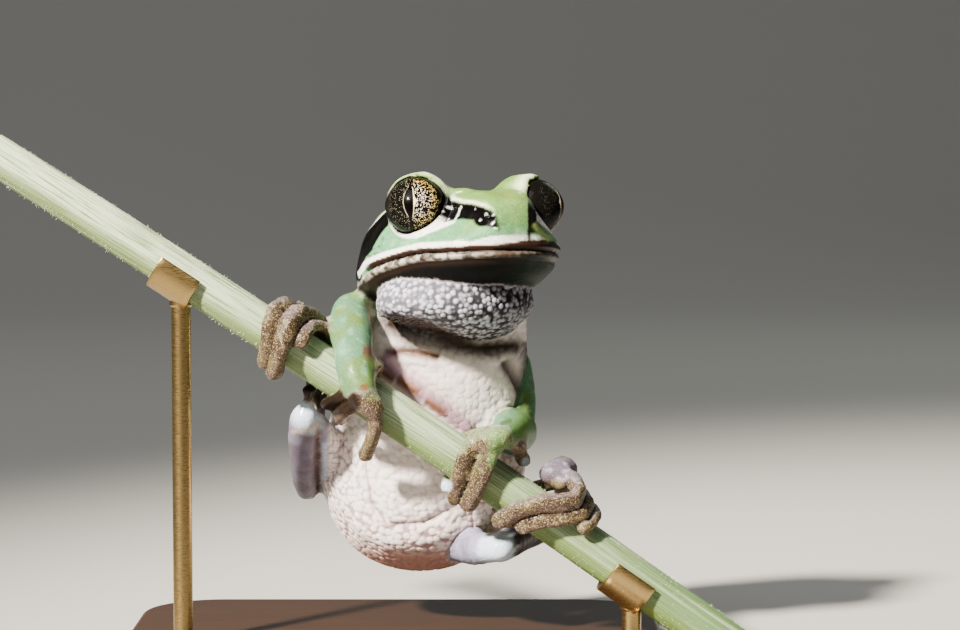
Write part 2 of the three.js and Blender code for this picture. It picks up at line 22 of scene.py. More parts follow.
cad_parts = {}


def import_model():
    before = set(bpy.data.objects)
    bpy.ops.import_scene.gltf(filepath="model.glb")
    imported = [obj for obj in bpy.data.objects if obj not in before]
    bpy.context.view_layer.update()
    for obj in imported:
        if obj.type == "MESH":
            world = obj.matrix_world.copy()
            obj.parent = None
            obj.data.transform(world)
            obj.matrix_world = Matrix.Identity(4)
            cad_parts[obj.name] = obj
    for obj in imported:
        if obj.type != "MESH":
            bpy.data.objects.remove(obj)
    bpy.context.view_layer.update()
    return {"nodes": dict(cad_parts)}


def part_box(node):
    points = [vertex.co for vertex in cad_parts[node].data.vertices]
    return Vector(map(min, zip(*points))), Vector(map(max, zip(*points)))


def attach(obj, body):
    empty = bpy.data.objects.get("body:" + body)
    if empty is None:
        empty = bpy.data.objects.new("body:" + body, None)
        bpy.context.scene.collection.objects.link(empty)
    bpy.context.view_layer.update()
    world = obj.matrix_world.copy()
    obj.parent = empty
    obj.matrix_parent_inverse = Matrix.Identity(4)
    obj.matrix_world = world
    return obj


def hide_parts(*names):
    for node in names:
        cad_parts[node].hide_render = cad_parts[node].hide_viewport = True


LOG = logging.getLogger("leaf_frog")
MM = 0.001

Points = np.ndarray
Values = np.ndarray
Path = list[tuple[float, float]]
Crease = tuple[Path, float, str, float]


# ---- small helpers ------------------------------------------------------------------------------


def linear(hexcode: str) -> tuple[float, float, float]:
    """The linear values of an sRGB hex colour.

    Args:
        hexcode: six hex digits, with or without a leading hash.

    Returns:
        Red, green and blue, 0 to 1, linear.
    """
    digits = hexcode.lstrip("#")
    parts = [int(digits[i : i + 2], 16) / 255 for i in (0, 2, 4)]
    return tuple(c / 12.92 if c <= 0.04045 else ((c + 0.055) / 1.055) ** 2.4 for c in parts)


def ramp(x: Values, low: float, high: float) -> Values:
    """A smooth step of x from 0 at low to 1 at high; it falls if high is the smaller."""
    t = np.clip((x - low) / (high - low), 0, 1)
    return t * t * (3 - 2 * t)


def hump(x: Values, width: float) -> Values:
    """A bell of x, 1 at nought and about a third at the width."""
    return np.exp(-((x / width) ** 2))


def keyed(x: Values, keys: Path) -> Values:
    """Straight lines through (x, value) keys, level beyond both ends."""
    xs, ys = zip(*keys)
    return np.interp(x, xs, ys)


def near_path(points: Points, path: Path) -> tuple[Values, Values]:
    """How far flat points lie from a line through given places.

    Args:
        points: (N, 2) places.
        path: the corners of the line.

    Returns:
        The distance, and the share of the line's length, 0 to 1, at the nearest spot.
    """
    corners = np.array(path, float)
    lengths = np.hypot(*(corners[1:] - corners[:-1]).T)
    starts = np.concatenate([[0], np.cumsum(lengths)])
    best = np.full(len(points), np.inf)
    share = np.zeros(len(points))
    for a, b, start, length in zip(corners[:-1], corners[1:], starts, lengths):
        t = np.clip((points - a) @ (b - a) / length**2, 0, 1)
        gap = np.hypot(*(points - a - t[:, None] * (b - a)).T)
        closer = gap < best
        best[closer] = gap[closer]
        share[closer] = (start + t[closer] * length) / starts[-1]
    return best, share


def within(points: Points, outline: Path, soft: float) -> Values:
    """1 inside a closed outline and 0 outside, fading over the given width.

    Args:
        points: (N, 2) places.
        outline: the corners, in order.
        soft: the width of the fading edge.

    Returns:
        The share of each point, 0 to 1.
    """
    corners = np.array(outline, float)
    inside = np.zeros(len(points), bool)
    for a, b in zip(corners, np.roll(corners, -1, axis=0)):
        crosses = (a[1] > points[:, 1]) != (b[1] > points[:, 1])
        rise = b[1] - a[1] if b[1] != a[1] else 1e-12
        x = (b[0] - a[0]) * (points[:, 1] - a[1]) / rise + a[0]
        inside ^= crosses & (points[:, 0] < x)
    gap, _ = near_path(points, outline + [outline[0]])
    return ramp(np.where(inside, gap, -gap), -soft, soft)


def cloudy(points: Points, size: float, seed: int = 0) -> Values:
    """Smooth random patches.

    Args:
        points: (N, 3) places, mm.
        size: how wide a patch is, mm.
        seed: which patches.

    Returns:
        A value of each point, 0 to 1.
    """
    scaled = points / size
    cell = np.floor(scaled).astype(np.int64)
    part = scaled - cell
    blend = part * part * (3 - 2 * part)
    total = np.zeros(len(points))
    for corner in np.ndindex(2, 2, 2):
        x, y, z = (cell + corner).T
        mixed = (x * 73856093) ^ (y * 19349663) ^ (z * 83492791) ^ (seed * 2654435761)
        mixed = (mixed ^ (mixed >> 13)) * 1274126177
        chance = ((mixed ^ (mixed >> 16)) & 0xFFFFFF) / 0xFFFFFF
        weight = np.prod(np.where(np.array(corner) == 1, blend, 1 - blend), axis=1)
        total += weight * chance
    return total


def deselect() -> None:
    """Leaves edit mode and deselects everything."""
    if bpy.context.object and bpy.context.object.mode != "OBJECT":
        bpy.ops.object.mode_set(mode="OBJECT")
    bpy.ops.object.select_all(action="DESELECT")


def pick(obj: bpy.types.Object) -> bpy.types.Object:
    """Makes an object the only one selected and active, and returns it."""
    deselect()
    obj.select_set(True)
    bpy.context.view_layer.objects.active = obj
    return obj


def apply_modifier(obj: bpy.types.Object, kind: str, **settings: object) -> None:
    """Adds a modifier with its settings to an object and applies it."""
    pick(obj)
    modifier = obj.modifiers.new(kind.lower(), kind)
    for name, value in settings.items():
        setattr(modifier, name, value)
    bpy.ops.object.modifier_apply(modifier=modifier.name)


def read_many(items: bpy.types.bpy_prop_collection, name: str, width: int, kind: type = float) -> Values:
    """One property of every item of a mesh, (N, width)."""
    flat = np.empty(len(items) * width, np.int32 if kind is int else np.float32)
    items.foreach_get(name, flat)
    return flat.reshape(-1, width).astype(kind)


def coordinates(mesh: bpy.types.Mesh) -> Points:
    """The places of a mesh's vertices, (N, 3)."""
    return read_many(mesh.vertices, "co", 3)


def place(mesh: bpy.types.Mesh, points: Points) -> None:
    """Moves a mesh's vertices to the given places."""
    mesh.vertices.foreach_set("co", points.astype(np.float64).ravel())
    mesh.update()


def store(mesh: bpy.types.Mesh, name: str, values: Values) -> None:
    """Keeps a number or a colour for each vertex as a named attribute of the mesh."""
    if values.ndim == 1:
        mesh.attributes.new(name, "FLOAT", "POINT").data.foreach_set("value", values.astype(np.float32))
        return
    full = np.ones((len(values), 4), np.float32)
    full[:, :3] = values
    mesh.attributes.new(name, "FLOAT_COLOR", "POINT").data.foreach_set("color", full.ravel())


def face_outward(obj: bpy.types.Object, merge: bool = False) -> None:
    """Turns every face of an object outward, after merging its doubles if asked to."""
    pick(obj)
    bpy.ops.object.mode_set(mode="EDIT")
    bpy.ops.mesh.select_all(action="SELECT")
    if merge:
        bpy.ops.mesh.remove_doubles(threshold=1e-6)
    bpy.ops.mesh.normals_make_consistent(inside=False)
    bpy.ops.object.mode_set(mode="OBJECT")


def select_edges(obj: bpy.types.Object, wanted: Callable[[Vector, Vector], bool]) -> None:
    """Goes into edit mode with only those edges selected whose two ends pass a test."""
    pick(obj)
    bpy.ops.object.mode_set(mode="EDIT")
    bpy.ops.mesh.select_mode(type="EDGE")
    bpy.ops.mesh.select_all(action="DESELECT")
    bpy.ops.object.mode_set(mode="OBJECT")
    for edge in obj.data.edges:
        edge.select = wanted(*(obj.data.vertices[i].co for i in edge.vertices))
    bpy.ops.object.mode_set(mode="EDIT")


def cut_cylinder(name: str, around: int, cuts: int, ends: str) -> bpy.types.Object:
    """Makes a cylinder of radius 1 and height 1 round the origin, cut across many times.

    Args:
        name: the new object's name.
        around: how many sides it has.
        cuts: how many times it is cut across, at most 100.
        ends: how the ends are filled, NGON or TRIFAN.

    Returns:
        The cylinder.
    """
    deselect()
    bpy.ops.mesh.primitive_cylinder_add(vertices=around, radius=1, depth=1, end_fill_type=ends)
    cylinder = bpy.context.object
    cylinder.name = cylinder.data.name = name
    select_edges(cylinder, lambda a, b: abs(a.z - b.z) > 0.5)
    bpy.ops.mesh.subdivide(number_cuts=cuts)
    bpy.ops.object.mode_set(mode="OBJECT")
    return cylinder


# ---- the layout frame -----------------------------------------------------------------------------


class Layout:
    """The layout frame in mm, found again from the stand's base."""

    BASE_CENTRE = (-13.5, 13.0)
    BASE_TOP = -51.2

    def __init__(self) -> None:
        """Reads where the base lies in the row frame."""
        low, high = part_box("stand_base")
        middle = (low + high) / 2 / MM
        self.offset = np.array(
            [
                middle.x - self.BASE_CENTRE[0],
                middle.y - self.BASE_CENTRE[1],
                high.z / MM - self.BASE_TOP,
            ]
        )

    def to_layout(self, metres: Points) -> Points:
        """Row-frame metres as layout millimetres."""
        return metres / MM - self.offset

    def to_frame(self, points: Points) -> Points:
        """Layout millimetres as row-frame metres."""
        return (points + self.offset) * MM


@dataclass(frozen=True)
class FrontView:
    """The view of the camera, in units of 1/6.5 mm from the picture's upper left corner."""

    distance: float = 430.8
    elevation: float = math.radians(4)
    scale: float = 6.5
    centre: tuple[float, float] = (480, 315)

    def eye(self) -> Points:
        """The place of the camera in the layout frame."""
        away = self.distance
        return np.array([0, -away * math.cos(self.elevation), away * math.sin(self.elevation)])

    def of(self, points: Points) -> Points:
        """Where layout points are seen, (N, 2), the second counted downward."""
        x, y, z = points.T
        cos, sin = math.cos(self.elevation), math.sin(self.elevation)
        depth = self.distance + y * cos - z * sin
        reach = self.scale * self.distance / depth
        return np.column_stack([self.centre[0] + reach * x, self.centre[1] - reach * (y * sin + z * cos)])


@dataclass(frozen=True)
class Head:
    """The head's own frame in mm: forward along the muzzle, right, and up through the crown."""

    centre: tuple[float, float, float] = (-0.7, 4.0, 16.3)
    yaw: float = 29.0
    pitch: float = 8.0
    roll: float = 1.5
    eye_radius: float = 4.6
    eye_place: tuple[float, float, float] = (0.2, 10.3, 0.1)  # forward, aside, up

    def turn(self) -> np.ndarray:
        """The matrix whose columns are the head's forward, right and up."""
        rotation = (
            Matrix.Rotation(math.radians(self.yaw), 3, "Z")
            @ Matrix.Rotation(math.radians(-self.pitch), 3, "X")
            @ Matrix.Rotation(math.radians(self.roll), 3, "Y")
        )
        axes = np.array([[0, -1, 0], [-1, 0, 0], [0, 0, 1]], float)
        return np.array(rotation) @ axes

    def of(self, points: Points) -> Points:
        """Layout points in the head's frame, (N, 3): forward, right, up."""
        return (points - np.array(self.centre)) @ self.turn()

    def out(self, local: Points) -> Points:
        """Head-frame points in the layout frame."""
        return np.atleast_2d(local) @ self.turn().T + np.array(self.centre)

    def eye_middle(self, side: int) -> Points:
        """The middle of an eye in the layout frame; side is 1 for the right one, -1 for the left."""
        forward, aside, up = self.eye_place
        return self.out([forward, side * aside, up])[0]


# ---- node helper ------------------------------------------------------------------------------------


def add_node(
    tree: bpy.types.NodeTree, kind: str, inputs: dict[object, object] | None = None, **settings: object
) -> bpy.types.Node:
    """Adds one node to a material, sets it up and links what feeds it.

    Args:
        tree: the material's node tree.
        kind: the node's type name.
        inputs: for each input, by name or number, a value or the output socket that feeds it.
        settings: the node's own properties.

    Returns:
        The new node.
    """
    node = tree.nodes.new(kind)
    for name, value in settings.items():
        setattr(node, name, value)
    for key, value in (inputs or {}).items():
        socket = node.inputs[key]
        if isinstance(value, bpy.types.NodeSocket):
            tree.links.new(value, socket)
        else:
            socket.default_value = value
    return node


def colour(hexcode: str) -> tuple[float, float, float, float]:
    """An sRGB hex colour as a colour socket takes it."""
    return (*linear(hexcode), 1.0)


def new_finish(
    obj: bpy.types.Object, name: str, looks: dict[str, object]
) -> tuple[bpy.types.NodeTree, bpy.types.NodeInputs]:
    """Puts a new material with one Principled shader on an object.

    Args:
        obj: the piece.
        name: the material's name.
        looks: the shader's own values, by socket.

    Returns:
        The material's node tree and the shader's inputs.
    """
    material = bpy.data.materials.new(name)
    material.use_nodes = True
    inputs = material.node_tree.nodes["Principled BSDF"].inputs
    for socket, value in looks.items():
        inputs[socket].default_value = value
    obj.data.materials.append(material)
    return material.node_tree, inputs


# ---- the skin's shape -----------------------------------------------------------------------------


class Part(Enum):
    """The named parts of the body that the skin covers."""

    HEAD = ("head",)
    JAW = ("lower_jaw",)
    THROAT = ("throat",)
    TRUNK = ("neck", "chest", "belly", "pelvis")
    ARM = ("upper_arm_", "forearm_")
    HAND = ("hand_", "finger_")
    THIGH = ("thigh_",)
    SHANK = ("shank_",)
    TARSUS = ("tarsus_",)
    FOOT = ("foot_", "toe_")


class Surface:
    """A mesh with its places, neighbours and normals at hand, in layout mm."""

    def __init__(self, obj: bpy.types.Object, layout: Layout) -> None:
        """Reads the mesh of an object."""
        self.obj = obj
        self.layout = layout
        self.read()

    def read(self) -> None:
        """Reads the places and edges again, after the mesh has new faces."""
        self.points = self.layout.to_layout(coordinates(self.obj.data))
        self.edges = read_many(self.obj.data.edges, "vertices", 2, int)
        self.degree = np.maximum(np.bincount(self.edges.ravel(), minlength=len(self.points)), 1)

    def write(self) -> None:
        """Puts the places into the mesh."""
        place(self.obj.data, self.layout.to_frame(self.points))

    def facing(self) -> Points:
        """The vertex normals of the places as they are now."""
        self.write()
        return read_many(self.obj.data.vertex_normals, "vector", 3)

    def mean(self, values: Values) -> Values:
        """Each vertex's mean of its neighbours' values."""
        a, b = self.edges.T
        columns = values.reshape(len(values), -1)
        out = np.empty_like(columns, float)
        for i in range(columns.shape[1]):
            total = np.bincount(a, columns[b, i], len(values)) + np.bincount(b, columns[a, i], len(values))
            out[:, i] = total / self.degree
        return out.reshape(values.shape)

    def soften(self, values: Values, rounds: int) -> Values:
        """Values spread over the surface by that many rounds of averaging."""
        for _ in range(rounds):
            values = 0.5 * values + 0.5 * self.mean(values)
        return values

    def relax(self, rounds: int, share: Values | float, swell_back: float = 0.0) -> None:
        """Smooths the places.

        Args:
            rounds: how many times.
            share: how far each vertex goes to its neighbours' mean, 0 to 1.
            swell_back: a second step outward after each, which keeps the volume.
        """
        share = np.asarray(share)
        if share.ndim == 1:
            share = share[:, None]
        for _ in range(rounds):
            self.points += share * (self.mean(self.points) - self.points)
            if swell_back:
                self.points -= swell_back * share * (self.mean(self.points) - self.points)


@dataclass
class FrogSkin:
    """One skin over the whole frog: head, trunk, limbs and digits."""

    layout: Layout
    head: Head = field(default_factory=Head)
    view: FrontView = field(default_factory=FrontView)
    swell: float = 0.29  # mm that each solid grows by, so that the thin cuts close
    voxel: float = 0.58  # mm
    grazing: float = 0.02  # how far a face must turn to the front to be made finer
    thinning: float = 0.3  # share of the hidden faces that is kept
    belly_pebble: float = 1.0  # mm between granules
    throat_pebble: float = 0.86
    belly_height: float = 0.17  # mm that a granule stands out
    throat_height: float = 0.2
    groove_reach: float = 1.6
    groove_width: float = 0.32
    groove_depth: float = 0.55

    def build(self, nodes: dict[str, bpy.types.Object]) -> bpy.types.Object:
        """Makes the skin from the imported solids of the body.

        Args:
            nodes: the frame's nodes by name.

        Returns:
            The skin, one closed mesh.
        """
        started = time.perf_counter()
        self.names = [n for part in Part for n in sorted(nodes) if n.startswith(part.value)]
        self.solids = {n: nodes[n] for n in self.names}
        self.obj = self.gather()
        self.close_cuts()
        self.surface = Surface(self.obj, self.layout)
        LOG.info("skin closed, %d vertices, %.1f s", len(self.surface.points), time.perf_counter() - started)
        self.find_parts()
        self.first_relax()
        self.thin_hidden()
        self.refine(self.seen_faces())
        self.second_relax()
        self.find_parts()
        LOG.info("skin refined, %d vertices, %.1f s", len(self.surface.points), time.perf_counter() - started)
        self.locate()
        self.sculpt()
        self.granulate()
        self.surface.write()
        self.paint()
        pick(self.obj)
        bpy.ops.object.shade_smooth()
        LOG.info("skin done, %.1f s", time.perf_counter() - started)
        return self.obj

    def gather(self) -> bpy.types.Object:
        """Joins merged copies of the body's solids into one object."""
        deselect()
        for name in self.names:
            copy = bpy.data.objects.new("skin_of_" + name, self.solids[name].data.copy())
            bpy.context.scene.collection.objects.link(copy)
            copy.select_set(True)
            if name == self.names[0]:
                bpy.context.view_layer.objects.active = copy
        bpy.ops.object.join()
        skin = bpy.context.view_layer.objects.active
        skin.name = skin.data.name = "frog_skin"
        skin.data.materials.clear()
        for attribute in list(skin.data.attributes):
            if not attribute.is_required and attribute.name not in ("position", "sharp_face"):
                skin.data.attributes.remove(attribute)
        face_outward(skin, merge=True)
        return skin

    def close_cuts(self) -> None:
        """Grows the solids until the thin cuts close, and covers them with one even mesh."""
        apply_modifier(self.obj, "DISPLACE", strength=self.swell * MM, mid_level=0.0)
        apply_modifier(self.obj, "REMESH", mode="VOXEL", voxel_size=self.voxel * MM)
        self.drop_crumbs()

    def drop_crumbs(self) -> None:
        """Deletes closed pockets and loose scraps, apart from the skin itself."""
        mesh = self.obj.data
        a, b = read_many(mesh.edges, "vertices", 2, int).T
        label = np.arange(len(mesh.vertices))
        while True:
            low = label.copy()
            np.minimum.at(low, a, label[b])
            np.minimum.at(low, b, label[a])
            low = low[low]
            if np.array_equal(low, label):
                break
            label = low
        sizes = np.bincount(label, minlength=len(label))
        LOG.info("shells of %s vertices", sorted(sizes[sizes > 0])[::-1][:12])
        keep = label == sizes.argmax()
        if keep.all():
            return
        pick(self.obj)
        mesh.vertices.foreach_set("select", ~keep)
        bpy.ops.object.mode_set(mode="EDIT")
        bpy.ops.mesh.delete(type="VERT")
        bpy.ops.object.mode_set(mode="OBJECT")

    def find_parts(self) -> None:
        """Says of each vertex which solid it covers, and shares each part over the surface."""
        corners, triangles, owner = [], [], []
        start = 0
        for number, name in enumerate(self.names):
            mesh = self.solids[name].data
            mesh.calc_loop_triangles()
            corners += coordinates(mesh).tolist()
            tri = read_many(mesh.loop_triangles, "vertices", 3, int)
            triangles += (tri + start).tolist()
            owner += [number] * len(tri)
            start = len(corners)
        tree = BVHTree.FromPolygons(corners, triangles)
        frame_points = self.layout.to_frame(self.surface.points)
        found = np.array([tree.find_nearest(p)[2] for p in frame_points.tolist()])
        self.owner = np.array(owner)[found]
        self.parts = {}
        for part in Part:
            of_part = np.array([n.startswith(part.value) for n in self.names])
            self.parts[part] = of_part[self.owner].astype(float)

    def share(self, part: Part, rounds: int = 3) -> Values:
        """How far each vertex belongs to a part, softened at its borders."""
        return self.surface.soften(self.parts[part], rounds)

    def seen_from_front(self, points: Points, normal: Points, lift: float = 0.35) -> Values:
        """Which layout points the camera sees, or nearly sees, past the skin itself."""
        mesh = self.obj.data
        self.surface.write()
        polygons = [tuple(p.vertices) for p in mesh.polygons]
        tree = BVHTree.FromPolygons(coordinates(mesh).tolist(), polygons)
        eye = Vector(self.layout.to_frame(self.view.eye()))
        starts = self.layout.to_frame(points + lift * normal)
        seen = np.zeros(len(points), bool)
        for i in np.nonzero(-normal[:, 1] > self.grazing)[0]:
            start = Vector(starts[i])
            hit = tree.ray_cast(start, (eye - start).normalized(), 0.2)
            seen[i] = hit[0] is None
        return seen

    def thin_hidden(self) -> None:
        """Makes the mesh coarser where the front view never shows it."""
        surface = self.surface
        seen = self.seen_from_front(surface.points, surface.facing())
        seen = surface.soften(seen.astype(float), 8)
        hidden = 1 - ramp(seen, 0.02, 0.2)
        hidden *= 1 - np.clip(self.share(Part.HAND, 4) + self.share(Part.FOOT, 4), 0, 1) * 0.8
        hidden *= 1 - np.maximum(0.6 * self.share(Part.HEAD, 4), self.face_detail(surface.points))
        group = self.obj.vertex_groups.new(name="hidden")
        for weight in (0.0, 0.25, 0.5, 0.75, 1.0):
            members = np.nonzero(np.abs(hidden - weight) <= 0.125)[0]
            group.add(members.tolist(), weight, "REPLACE")
        kept = 1 - (1 - self.thinning) * float(hidden.mean())
        before = len(self.obj.data.vertices)
        apply_modifier(self.obj, "DECIMATE", ratio=kept, vertex_group="hidden", vertex_group_factor=1.0)
        self.obj.vertex_groups.clear()
        surface.read()
        LOG.info("hidden share %.2f, %d vertices thinned to %d", hidden.mean(), before, len(surface.points))

    def seen_faces(self) -> Values:
        """Which faces the front view shows, and so get a finer mesh."""
        faces = self.obj.data.polygons
        places = self.layout.to_layout(read_many(faces, "center", 3))
        seen = self.seen_from_front(places, read_many(faces, "normal", 3))
        return seen | (self.face_detail(places) > 0.5)

    def face_detail(self, points: Points) -> Values:
        """Where a face needs a fine mesh on both sides: round the eyes, and from them to the nostrils."""
        forward, aside, up = self.head.of(points).T
        cheek = ramp(forward, -1, 0) * ramp(forward, 13.5, 12.5)
        cheek *= ramp(np.abs(aside), 2.4, 3.2) * ramp(up, -5.4, -4.6) * ramp(up, 3.6, 2.8)
        return np.maximum(cheek, ramp(self.gap_to_eyes(points), 1.5, 1.0))

    def gap_to_eyes(self, points: Points) -> Values:
        """How far layout points lie outside the nearer eyeball, mm."""
        middles = [self.head.eye_middle(side) for side in (1, -1)]
        gap = np.min([np.linalg.norm(points - middle, axis=1) for middle in middles], axis=0)
        return gap - self.head.eye_radius

    def refine(self, faces: Values) -> None:
        """Splits the chosen faces in four."""
        pick(self.obj)
        mesh = self.obj.data
        mesh.vertices.foreach_set("select", np.zeros(len(mesh.vertices), bool))
        mesh.edges.foreach_set("select", np.zeros(len(mesh.edges), bool))
        mesh.polygons.foreach_set("select", faces)
        bpy.ops.object.mode_set(mode="EDIT")
        bpy.ops.mesh.select_mode(type="FACE")
        bpy.ops.mesh.subdivide(number_cuts=1)
        bpy.ops.object.mode_set(mode="OBJECT")
        self.surface.read()

    def first_relax(self) -> None:
        """Smooths the steps of the mesh and the facets and cuts of the solids away."""
        surface = self.surface
        broad = surface.soften(self.parts[Part.TRUNK] + 0.35 * self.parts[Part.HEAD], 6)
        broad += 0.35 * surface.soften(self.parts[Part.THROAT] + self.parts[Part.JAW], 4)
        limbs = surface.soften(self.parts[Part.THIGH] + self.parts[Part.SHANK] + self.parts[Part.ARM], 4)
        calm = ramp(self.gap_to_eyes(surface.points), 0.6, 2.6)
        surface.relax(4, 0.5, 1.04)
        limbs += 2.0 * self.knees(0.4, 2.4) * (self.parts[Part.TRUNK] == 0)
        surface.relax(26, np.clip(0.5 * broad + 0.15 * limbs, 0, 0.5) * calm)
        nape = ramp(surface.points[:, 1], 13, 17) * hump((surface.points[:, 2] - 4) / 10, 1.0)
        surface.relax(60, 0.5 * nape)
        surface.relax(3, 0.5, 1.04)
        surface.points -= (self.swell * (1 - 0.5 * np.clip(broad, 0, 1)))[:, None] * surface.facing()

    def second_relax(self) -> None:
        """Rounds the finer mesh."""
        self.surface.relax(6, 0.5, 1.03)

    def locate(self) -> None:
        """Finds each vertex's place in the head's frame and in the front view."""
        points = self.surface.points
        self.local = self.head.of(points)
        self.seen = self.view.of(points)
        self.normal = self.surface.facing()
        self.to_front = ramp(-self.normal[:, 1], -0.1, 0.35)
        self.profile = np.column_stack([self.local[:, 0], self.local[:, 2]])
        self.aside = np.abs(self.local[:, 1])
        self.face = np.clip(self.share(Part.HEAD, 2) + self.share(Part.JAW, 2), 0, 1)
        self.over_mouth = self.local[:, 2] - keyed(self.local[:, 0], FACE.mouth)
        self.limbs = {part: self.share(part, 3) for part in Part}
        self.eye_gap = self.gap_to_eyes(points)

    def mark(self, path: Path, width: float, part: Values | float = 1.0, ends: float = 0.08) -> Values:
        """A line drawn on the front of the animal, fading at its ends.

        Args:
            path: its corners in the front view.
            width: its half width in the front view's units.
            part: where it may be drawn.
            ends: the share of its length over which it fades.

        Returns:
            How strongly each vertex is on it, 0 to 1.
        """
        gap, share = near_path(self.seen, path)
        fade = ramp(share, 0, ends) * ramp(share, 1, 1 - ends)
        return hump(gap, width) * fade * ramp(-self.normal[:, 1], -0.45, -0.05) * part

    def grooves(self) -> Values:
        """How close each vertex is to the line where two digits, or a limb and the body, touch."""
        frame_points = self.layout.to_frame(self.surface.points)
        own = np.full(len(frame_points), np.inf)
        other = own.copy()
        kind = [self.limb_kind(n) for n in self.names]
        for number, name in enumerate(self.names):
            low, high = (np.array(c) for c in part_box(name))
            reach = self.groove_reach * MM
            near = np.all((frame_points > low - reach) & (frame_points < high + reach), axis=1)
            touches = np.array([k != kind[number] and self.may_groove(k, kind[number]) for k in kind])
            mesh = self.solids[name].data
            tri = [tuple(t.vertices) for t in mesh.loop_triangles]
            tree = BVHTree.FromPolygons(coordinates(mesh).tolist(), tri)
            for i in np.nonzero(near & ((self.owner == number) | touches[self.owner]))[0]:
                gap = tree.find_nearest(frame_points[i], reach)[3]
                if gap is not None and self.owner[i] == number:
                    own[i] = gap
                elif gap is not None:
                    other[i] = min(other[i], gap)
        both = np.isfinite(own) & np.isfinite(other)
        depth = np.zeros(len(frame_points))
        depth[both] = hump((other[both] - own[both]) / MM, self.groove_width)
        return depth

    @staticmethod
    def limb_kind(name: str) -> str:
        """What a solid is when it touches another: the trunk, the head, a digit or a limb's length."""
        for part in Part:
            if name.startswith(part.value):
                if part in (Part.HAND, Part.FOOT):
                    return name
                side = "right" if "right" in name else "left" if "left" in name else ""
                return f"{part.name}_{side}"
        return name

    @staticmethod
    def may_groove(a: str, b: str) -> bool:
        """True for two solids between which living skin has a groove."""
        digits = ("finger_", "toe_")
        if a.startswith(digits) and b.startswith(digits):
            return True
        legs = ("THIGH", "SHANK", "TARSUS")
        if a.startswith(legs) and b.startswith(legs):
            return not {"SHANK", "TARSUS"} == {a.split("_")[0], b.split("_")[0]}
        limbs = ("ARM", "THIGH", "SHANK", *digits, "hand_", "foot_")
        for one, two in ((a, b), (b, a)):
            if one.startswith("finger_") and two.startswith("foot_"):
                return True
            if one == "TRUNK_" and two.startswith(limbs):
                return True
        return False

    def sculpt(self) -> None:
        """Adds lids, lips, nostrils, folds and knuckles."""
        push = self.mouth() + self.eyelids() + self.muzzle() + self.folds()
        x, y = (self.seen - np.array(THROAT_LIFT[:2])).T
        lift = hump(np.hypot(x / THROAT_LIFT[2], y / THROAT_LIFT[3]), 1.0)
        lift *= ramp(self.normal[:, 2], 0.3, -0.3)
        self.surface.points[:, 2] += THROAT_LIFT[4] * lift * self.limbs[Part.THROAT]
        self.groove = self.grooves() * (1 - self.knees(1.2, 2.6))
        push -= self.groove_depth * self.groove
        fine = cloudy(self.surface.points, 0.9, 3) + 0.5 * cloudy(self.surface.points, 0.5, 4)
        push += 0.05 * (fine - 0.75) * (1 - self.limbs[Part.TRUNK]) * ramp(self.eye_gap, 0.2, 1.0)
        self.surface.points += push[:, None] * self.normal
        self.surface.relax(1, 0.35)
        self.normal = self.surface.facing()

    def knees(self, near: float, far: float) -> Values:
        """How close each vertex is to a knee: 1 within one gap of its ball, 0 beyond the other, mm."""
        reach = np.zeros(len(self.surface.points))
        for x, y, z, radius in KNEES:
            gap = np.linalg.norm(self.surface.points - np.array([x, y, z]), axis=1) - radius
            reach = np.maximum(reach, ramp(gap, far, near))
        return reach

    def mouth(self) -> Values:
        """The mouth's slit with a rolled lip above and below it."""
        forward, _, _ = self.local.T
        du = self.over_mouth
        reach = self.face * ramp(forward, FACE.mouth_corner - 0.6, FACE.mouth_corner + 1.2)
        slit = -0.6 * hump(du, 0.2)
        upper = 0.32 * hump(du - 0.6, 0.5)
        lower = 0.3 * hump(du + 0.62, 0.42) - 0.25 * hump(du + 1.5, 0.4)
        return (slit + upper + lower) * reach

    def eyelids(self) -> Values:
        """The rims of the lids round both eyes."""
        gap = self.eye_gap
        rim = 0.3 * hump(gap - 0.45, 0.4) - 0.16 * hump(gap - 1.25, 0.4)
        forward, aside, up = self.local.T
        thick = ramp(up, 0.4, 2.4) * ramp(forward, 2.2, -0.6) * ramp(self.aside, 8.6, 10.2)
        thin_lid = -0.7 * np.clip(gap - 0.42, 0, None) * ramp(gap, 2.8, 1.3) * thick
        return (rim * (1 - 0.7 * thick) + thin_lid) * ramp(gap, -0.1, 0.25) * self.face

    def muzzle(self) -> Values:
        """The ridge from eye to nostril, the hollow under it and the nostrils."""
        gap, share = near_path(self.profile, FACE.ridge)
        ridge = 0.28 * hump(gap, 0.7) * ramp(share, 0, 0.1) * ramp(self.aside, 2.0, 3.4)
        hollow_gap, _ = near_path(self.profile, FACE.hollow)
        hollow = -0.75 * hump(hollow_gap, 2.2) * ramp(self.aside, 2.6, 4.6)
        x, z = FACE.nostril
        hole = np.hypot(self.profile[:, 0] - x, self.profile[:, 1] - z)
        nostril = (-0.55 * hump(hole, 0.3) + 0.16 * hump(hole - 0.62, 0.25)) * ramp(self.aside, 2.6, 3.6)
        behind, _ = near_path(self.profile, FACE.ear_fold)
        fold = 0.35 * hump(behind, 0.9)
        return (ridge + hollow + nostril + fold) * self.limbs[Part.HEAD] * ramp(self.eye_gap, 0.3, 1.2)

    def folds(self) -> Values:
        """The folds of throat, breast and belly, and the soft roll above the stem."""
        body = np.clip(self.limbs[Part.TRUNK] + self.limbs[Part.THROAT] + self.limbs[Part.JAW], 0, 1)
        push = np.zeros(len(body))
        for fold in BODY_FOLDS:
            push += fold.height * self.mark(fold.path, fold.width, body, fold.ends)
        return push

    def flank(self) -> Values:
        """Where the right thigh's front carries the belly's granular skin."""
        x, y = self.seen.T
        inside = ramp(x, 325, 331) * ramp(x, 400, 380) * ramp(y, 408, 418)
        return self.limbs[Part.THIGH] * inside * self.to_front

